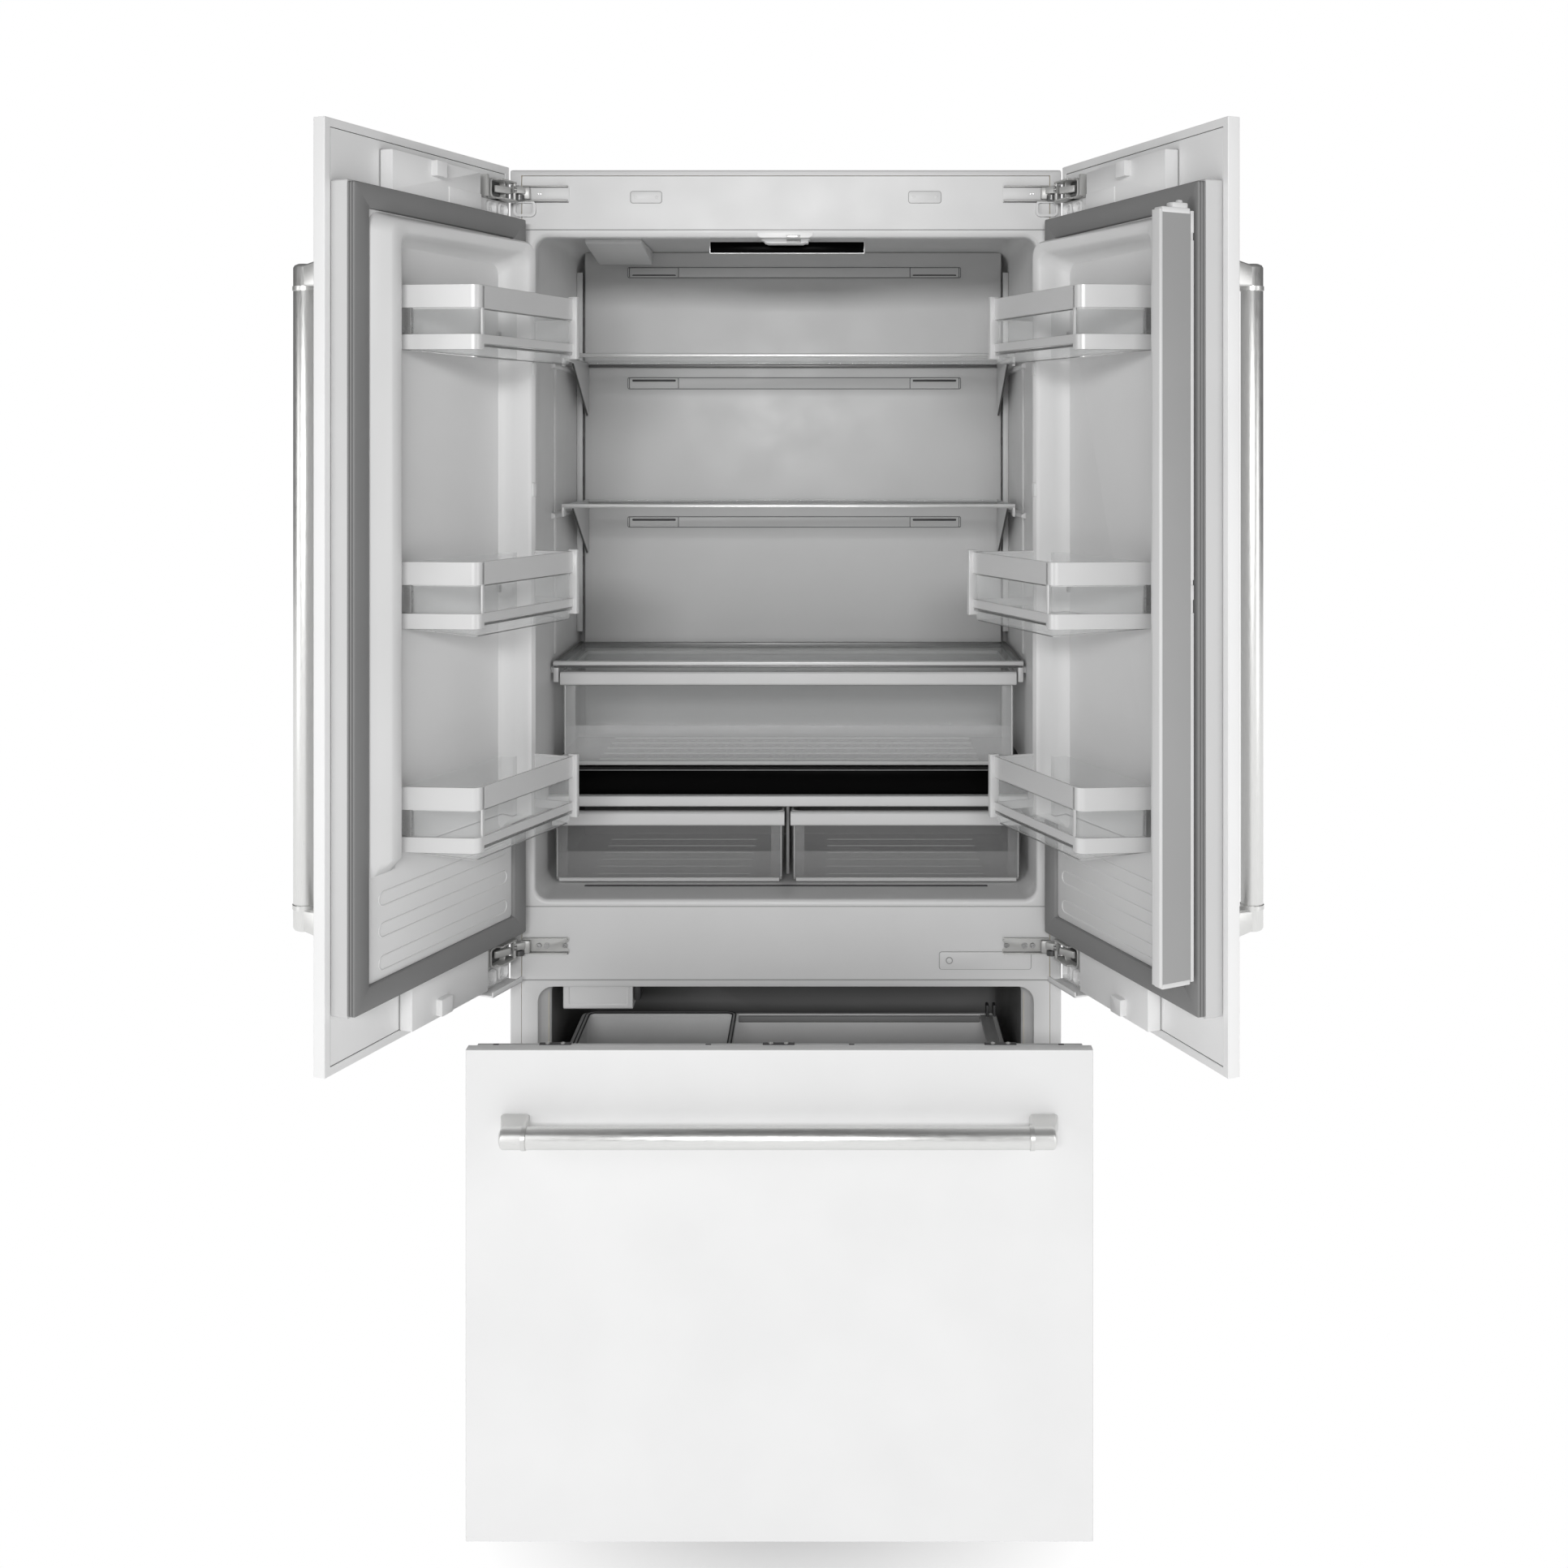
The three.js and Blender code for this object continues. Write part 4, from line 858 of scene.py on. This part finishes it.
def add_bin(side, level, place):
    low, high = BIN_LEVELS[level]
    front = 190 if (side, level) == ("right", "middle") else 153
    outer, inner = bin_line(front, 0), bin_line(front, 3)
    turn = BIN_ARC + 2  # points of the line up to the end of its round corner
    long_side = [i >= turn for i in range(len(outer))]
    lows = [low + 9 if flat else low for flat in long_side]
    parts = [ribbon(outer, inner, high - 33, high), ribbon(outer, inner, lows, low + 22)]
    ends = [[line[0], (line[0][0] - 2, 44)] for line in (outer, inner)]
    for strip in ([outer[turn - 1:turn + 1], inner[turn - 1:turn + 1]], ends):
        parts.append(ribbon(*strip, low + 1, high - 1))
    cap = [slab(48.5, 56.8, front - 8, front + 7, low - 2, high + 3, 1.2),
           slab(54, 59, 60, 70, low + 1, high - 1, 1)]
    cap.extend(slab(47.5, 58, front - 22, front - 7, z, z + 7, 1.2) for z in (high - 7, low + 1))
    frame_mesh = bevel(merge(*parts, *cap), 0.5, 1, 60)
    name = f"{side}_{level}_bin"
    piece(f"{name}_frame", frame_mesh, place, SILVER, [name], 40)
    rings = [(7, 1, BIN_DROP), (4.4, 3, BIN_DROP), (3.4, 8, BIN_DROP), (3.2, high - low - 3, 0),
             (5, high - low - 3, 0), (5.6, 8, BIN_DROP), (8, 4, BIN_DROP)]
    tray = loft([sloping(bin_plan(front, inset), front, low + up, drop) for inset, up, drop in rings])
    piece(f"{name}_tray", tray, place, CLEAR)
    rim = ribbon(bin_line(front, 4), bin_line(front, 5.4), high - 34.5, high - 33)
    piece(f"{name}_edge", rim, place, CLEAR_EDGE)
    # Grey strips of painted shade: inside the bin's near end, under its two bands and along the tray's lower edge,
    # with a small block near the far end
    shade_strips = [slab(330, 339, 38, 60, low + 22, high - 32, 0.8), slab(84, 92, 38, 42, low + 30, low + 42, 1.5)]
    for near, far, z0, z1 in ((1.2, 3.2, low + 4.4, low + 7.6), (3.1, 4.1, high - 35, high - 33.6)):
        lines = [bin_line(front, inset)[turn - 1:-1] for inset in (near, far)]
        shade_strips.append(ribbon(*lines, z0, z1))
    hem = [sloping(bin_plan(front, inset), front, low + up, BIN_DROP)
           for inset, up in ((6.4, 0.4), (6.4, 1.6), (8, 1.6), (8, 0.4))]
    shade_strips.append(loft(hem, caps=False, closed=True))
    piece(f"{name}_clips", merge(*shade_strips), place, RAIL, slot="flipper_grey")


def handle(length):
    """A round bar along z on two posts, standing out towards -y."""
    radius, out = 15.5, 55
    bar = turned([(0, 9), (9, 9.4), (13.5, 11.5), (radius, 15), (radius, length - 15),
                  (13.5, length - 11.5), (9, length - 9.4), (0, length - 9)], 48, "z", (0, -out, 0))
    section = [(-0.3, 2), (-0.3, 40), (-8, 42), (-out + 6, 42), (-out - 3, 38), (-out - 3, 16),
               (-out + 5, 12), (-6, 1)]
    posts = []
    for shape, z in ((section, 44), ([(y, length - z) for y, z in section], length - 44)):
        posts.append(prism("x", shape, -12.5, 12.5, 3.2, 3))
        posts.append(disc(16.6, z - 3, z + 3, 40, "z", (0, -out, 0)))
    return bar, merge(*posts)


def add_handle(prefix, node, place, matrix, length, finish):
    bar, posts = handle(length)
    piece(f"{prefix}_handle_bar", moved(bar, matrix), place, finish, [node])
    piece(f"{prefix}_handle_posts", moved(posts, matrix), place, CAST)


def add_door(side):
    place = DOORS[side]
    add_panel(f"{side}_door", f"{side}_door_panel", place, PANEL)
    add_door_core(side, place)
    add_gasket(f"{side}_door", f"{side}_door_gasket", place, (12, 437, 900, 2042))
    add_door_liner(side, place)
    for level in BIN_LEVELS:
        add_bin(side, level, place)
    add_handle(f"{side}_door", f"{side}_door_handle", place, Matrix.Translation((400, -20, 988)), 957,
               STEEL_UP)


def add_flipper():
    """The bar that closes the gap between the doors: a grey face in a pale frame with notched edges."""
    face = prism("z", rounded(2.5, 52, -5.3, 4, 1), 953, 1996, 0.5)
    piece("flipper_face", face, FLIPPER_PLACE, FLIPPER, ["mullion_flipper"])
    notched = rounded(-3, 3.2, -5.5, 13, [2, 0.6, 2, 3])
    end = rounded(3, 52, -5.5, 13.2, 3)
    bars = [
        (rounded(51, 56, -5.5, 14, [1, 2, 4, 1]), 950, 2000, 0.8),
        (rounded(-1, 52, 3, 13.6, 2), 950, 2000, 0.8),
        *((notched, z0, z1, 0.6) for z0, z1 in ((950, 1452), (1470, 1490), (1497, 1960), (1970, 2000))),
        (rounded(-1.6, 3.2, -5, 12, 1.5), 951, 1999, 0.4),
        (end, 946.6, 953.6, 1.2),
        (end, 1995.5, 2003.4, 1.2),
        (rounded(4, 34, -4.5, 12.5, 7), 2000, 2010.6, 1.6),
    ]
    tip = turned([(0, 2009), (5, 2009), (5, 2012), (4, 2014.5), (0, 2015.4)], 28, "z", (16, 4, 0))
    piece("flipper_frame", merge(*(prism("z", *bar) for bar in bars), tip), FLIPPER_PLACE, TRIM)


# ---- hinges
def stud(s, t, z, radius, height):
    """A screw with a sunk cross, standing up towards +y."""
    section = [(0, 0), (radius, 0), (radius, height * 0.7), (radius * 0.55, height),
               (radius * 0.45, height * 0.4), (0, height * 0.4)]
    return turned([(r, h) for r, h in section], 20, "y", (s, t, z))


def add_arm(side, level, z):
    """The hinge's arm on the cabinet's front, drawn for the left side: a channel with a link to the pin."""
    name, place = f"{side}_{level}", SIDES[side]
    half, tip = 12.8, -350.5
    upper = level == "upper"
    notch = [] if upper else [(tip, z - 7), (tip - 4, z - 3.5), (tip - 4, z + 3.5), (tip, z + 7)]
    web = [(-423, z - half), (tip, z - half), *notch, (tip, z + half), (-423, z + half)]
    plate = prism("y", web, -1.8, -0.3, 0.3)
    piece(f"{name}_arm_plate", plate, place, FRAME if upper else NICKEL, slot="hinge_nickel")
    link = [(-441, -22), (-433, -26), (-419, -15), (-419, -4), (-426, -3), (-440, -15)]
    parts = [*(slab(-425, tip - 2, -8, -0.4, edge, edge + 2, 0.7) for edge in (z - half, z + half - 2)),
             prism("z", link, z - 2, z + 9, 1.2), disc(2.9, z - 15, z + 15, 24, "z", (*PIN, 0)),
             slab(-429, -412, -12, -2, z - 10, z + 10, 2.5)]
    piece(f"{name}_arm", merge(*parts), place, NICKEL, [f"{name}_hinge_arm"])
    dark = [slab(-424, tip - 1.6, -2.3, -1.6, edge, edge + 1, 0.1) for edge in (z - half + 2, z + half - 3)]
    dark.append(slab(-424, tip - 1, -1.5, -0.35, z - half - 1.4, z - half - 0.2, 0.1))
    dark.append(disc(7.5, z - 12, z - 4, 28, "z", (-428, -13, 0)))
    dark.extend(slab(-434, -430, -27, -24, edge, edge + 3, 0.6) for edge in (z - 0.5, z + 4.5))
    piece(f"{name}_arm_shadow", merge(*dark), place, DARK_NICKEL, slot="hinge_nickel")
    marks = (-396, -400) if upper else (-357, -399)
    size = 1.2 if upper else 4.4
    heads = [screw(x, -1.7, z, size, 0.8 if upper else 2.4) for x in marks]
    if not upper:
        heads.append(disc(5, -1.7, -2.2, 24, "y", (-386, 0, z)))
    piece(f"{name}_arm_screws", merge(*heads), place, RAIL, slot="hinge_nickel")
    if upper:
        bracket = moulding("y", (-440, -404, 2050, 2076), bead(-0.4, -5, 4), 8)
        piece(f"{side}_upper_bracket", bracket, place, TRIM)


def add_cup(side, level, z):
    """The hinge's cup in the door: a flanged box with two ears round the pin, over a well whose floor is painted
    dark as painted shade.
    """
    name, place = f"{side}_{level}", DOORS[side]
    wall = [(0, 4.6), (0, 14), (1, 15), (2.6, 15), (3, 14), (3, 4.6)]
    ear = rounded(11.4, 58, 2, 24.6, [2, 2, 2, 6])
    parts = [prism("y", rounded(13, 84, z - 16, z + 16, [3, 10, 10, 3]), 0.4, 5, 1),
             moulding("y", (32, 74, z - 16, z + 16), wall, 8),
             *(prism("z", ear, low, low + 2.6, 0.6) for low in (z - 16, z + 13.4)),
             prism("z", [(24, 18), (48, 8), (56, 8), (56, 12), (30, 23)], z - 5, z + 6, 1.2),
             slab(86, 91.6, 0.4, 20, z - 16, z + 18, 0.6)]
    parts.extend(stud(s, 4.6, z, 3.8, 2) for s in (79, 25))
    piece(f"{name}_cup", merge(*parts), place, NICKEL, [f"{name}_hinge_cup"])
    # The cup's floor painted dark: painted shade in its hollow
    well = [prism("y", rounded(35, 71, z - 13, z + 13, 6), 4.7, 5.8, 0.3),
            slab(35, 71, 5, 6.2, z - 15.2, z - 13.6, 0.2)]
    piece(f"{name}_well", merge(*well), place, DARK_NICKEL, slot="dark_grey")
    low, high = (2046, 2068) if level == "upper" else (824, 850)
    pockets = [moulding("y", (s, s + 26, low, high), [(0, 0.4), (0, 6), (2, 8), (5, 3), (5, 0.4)], 9)
               for s in (14, 46)]
    pockets.append(prism("y", rounded(8, 88, low - 3, high + 3, 4), 0.4, 2, 0.5))
    pockets.extend(stud(s, 1.8, low + 8, 4.4, 2) for s in (27, 59))
    if level == "lower":
        pockets.extend(slab(6, 90, t, 30, low - 7, end, 1) for t, end in ((1, low - 4), (27, low + 2)))
    piece(f"{name}_pad", merge(*pockets), place, PAINT)


# ---- freezer drawer
def add_freezer_front():
    place = DRAWER_FRONT
    add_panel("freezer_drawer", "freezer_drawer_panel", place, DRAWER_PANEL)
    core = prism("y", rounded(12, 890, 125, 796, 3), 0.4, 28, 1.2)
    strip = slab(12, 890, 0.4, 10, 795, 811, 0.8)
    piece("freezer_drawer_core", merge(core, strip), place, SIDE_FOAM, ["freezer_drawer_body"])
    clamps = (102, 426, 748)
    head = [(0, 0), (3.2, 0), (3.2, 1.2), (1.6, 1.6), (1.4, 0.8), (0, 0.8)]
    screws = [turned(head, 18, "z", (s + x, 5, 812.5)) for s in clamps for x in (12, 34)]
    wells = [slab(s, s + 46, 0.8, 9.6, 810.4, 812.6, 0.6) for s in clamps]
    wells.extend(slab(s, s + 8, 3, 7, 810.8, 811.5, 0.2) for s in (35, 343, 551, 855))
    piece("drawer_clamp_wells", merge(*wells), place, DARK)
    piece("drawer_clamp_screws", merge(*screws), place, NICKEL)
    add_gasket("freezer_drawer", "freezer_drawer_gasket", place, (12, 890, 125, 796))
    turn = Matrix.Translation((-400, -60.5, 709)) @ Matrix.Rotation(math.pi / 2, 4, "Y")
    add_handle("freezer_drawer", "freezer_drawer_handle", DRAWER, turn, 800, STEEL_ACROSS)


def add_basket():
    side = [(2, 168), (335, 168), (335, 358), (435, 358), (435, 690), (2, 690)]
    hollow = [(6, 172), (331, 172), (331, 362), (431, 362), (431, 720), (6, 720)]
    body = carve(prism("x", side, -356, 356, 6, 3), prism("x", hollow, -352, 352, 4, 2))
    rim = moulding("z", (-360, 360, -1, 438), [(0, 681), (0, 690), (1.5, 692), (7, 692), (8.5, 690),
                                               (8.5, 687), (4, 687), (4, 681)], 12)
    runners = [slab(x, x + 16.5, 10, 429, 567, 595, 2) for x in (-371.5, 355)]
    lines = [slab(x, x + 1, 20, end, z, z + 4, 0.4) for x in (-357.4, 356.4)
             for z, end in ((250, 325), (420, 425), (620, 425))]
    bracket = slab(-300, 300, -11.6, 3, 260, 632, 3)
    flange = slab(331, 358, 10, 430, 686, 691.5, 1.2)
    piece("basket_body", merge(body, rim, flange, *runners, *lines, bracket), DRAWER, BASKET,
          ["freezer_basket"])
    rail = prism("x", rounded(426, 438, 678, 690, 4), -88, 331, 1.5)
    piece("basket_rear_rail", rail, DRAWER, RUBBER, slot="flipper_grey")
    clips = [slab(x, x + 12, -2, 5, 672, 693.5, 2) for x in (-356, 344)]
    clips.extend(slab(x, x + 5, 418, 437, 680, 711, 1.5) for x in (341, 353))
    piece("basket_clips", merge(*clips), DRAWER, DARK)


def add_ice_bin():
    piece("ice_bin_tub", tub(-349, -93, 71, 427, 540, 695, 3, 16, 8, 5), DRAWER, CLEAR, ["ice_bin"])
    rim = moulding("z", (-351, -91, 69, 429), [(0, 688), (0, 696), (1, 697), (5, 697), (6, 696), (6, 693),
                                               (3, 692), (3, 688)], 17)
    piece("ice_bin_rim", rim, DRAWER, CLEAR_EDGE)
    # Dark lines painted along the clear rim's edges: painted shade for the dark edges the clear plastic shows
    edges = [moulding("z", (-351.4 + inset, -90.6 - inset, 68.6 + inset, 429.4 - inset),
                      bead(695.4, 697.6, 2), 17 - inset) for inset in (0, 5.6)]
    piece("ice_bin_rim_shade_lines", merge(*edges), DRAWER, DARK, slot="clear_plastic")


# ---- stage
CAMERA = {"sensor": 36, "lens": 37.38, "shift": (-0.0332, -0.2168), "aside": 0.0814, "back": 2.635,
          "up": 1.6824}
LIGHTS = [  # name, place, target, size, power
    ("key_light", (-0.3, -6.0, 2.75), (0, 0, 1.2), (2.6, 0.7), 150),
    ("left_fill", (-2.6, -2.2, 1.6), (0.2, -0.2, 1.2), (1.2, 2.2), 18),
    ("right_fill", (2.8, -2.4, 1.6), (-0.2, -0.2, 1.2), (1.2, 2.2), 18),
]
FLOOR = 14  # half the floor's width in metres
FADE = (0.06, 0.5)  # where the floor starts and ends melting into the backdrop
BACKDROP = {"seen": 1.0, "light": 0.15}


def add_camera():
    camera = bpy.data.cameras.new("camera")
    camera.sensor_width = CAMERA["sensor"]
    camera.lens = CAMERA["lens"]
    camera.shift_x, camera.shift_y = CAMERA["shift"]
    camera.clip_end = 60
    front = CABINET.matrix.translation.y
    place = (CAMERA["aside"], front - CAMERA["back"], CAMERA["up"])
    bpy.context.scene.camera = add_thing("camera", camera, place, (math.pi / 2, 0, 0))


def add_light(name, place, target, size, power):
    lamp = bpy.data.lights.new(name, "AREA")
    lamp.shape = "RECTANGLE"
    lamp.size, lamp.size_y = size
    lamp.energy = power
    add_thing(name, lamp, place, (Vector(target) - Vector(place)).to_track_quat("-Z", "Y").to_euler())


def floor_material():
    """Pale floor that melts into the white backdrop away from the object."""
    material, tree, shader = start_material("studio_floor", grey(0.95), 0.7)
    length = add_node(tree, "VectorMath", 1, Vector=add_node(tree, "TexCoord", "Object"))  # 1: Value
    length.node.operation = "LENGTH"
    fade = add_node(tree, "MapRange", Value=length, From_Min=FADE[0], From_Max=FADE[1])
    tone(tree, shader, fade, grey(0.95), grey(0.0))
    feed(tree, shader, Emission_Color=(1, 1, 1, 1), Specular_IOR_Level=0.0, Emission_Strength=fade)
    return material


def add_world():
    """A white backdrop for the camera that lights the object more softly."""
    world = bpy.data.worlds.new("studio")
    world.use_nodes = True
    tree = world.node_tree
    seen = add_node(tree, "LightPath", "Is Camera Ray")
    strength = add_node(tree, "MapRange", Value=seen, To_Min=BACKDROP["light"], To_Max=BACKDROP["seen"])
    feed(tree, tree.nodes["Background"], Color=(1, 1, 1, 1), Strength=strength)
    bpy.context.scene.world = world


def add_stage():
    bm = bmesh.new()
    bmesh.ops.create_grid(bm, x_segments=2, y_segments=2, size=FLOOR)
    mesh = to_mesh("floor", bm)
    mesh.materials.append(floor_material())
    floor = add_thing("floor", mesh, (0, 0, -0.0005))
    add_world()
    for light in LIGHTS:
        add_light(*light)
    bpy.context.scene.view_settings.view_transform = "Standard"


finish_nodes()
add_case()
add_front_plates()
add_fridge_liner()
add_freezer_liner()
add_air_panel()
for level, z in SHELVES.items():
    add_shelf(level, z)
add_crisper_shelf()
add_drawer_box("wide_drawer", 5, CLEAR)
for side in SIDE_NAMES:
    # The crisper tubs use the clear plastic painted dark, a painted shade for their dim inside
    add_drawer_box(f"{side}_crisper", 6, CRISPER_SHADE)
add_crisper_cover()
add_ceiling()
add_ice_maker()
add_underside()
for side in SIDE_NAMES:
    add_door(side)
    add_standard(side)
    add_freezer_rail(side)
    for level, z in HINGES.items():
        add_arm(side, level, z)
        add_cup(side, level, z)
add_flipper()
add_freezer_front()
add_basket()
add_ice_bin()
add_camera()
add_stage()
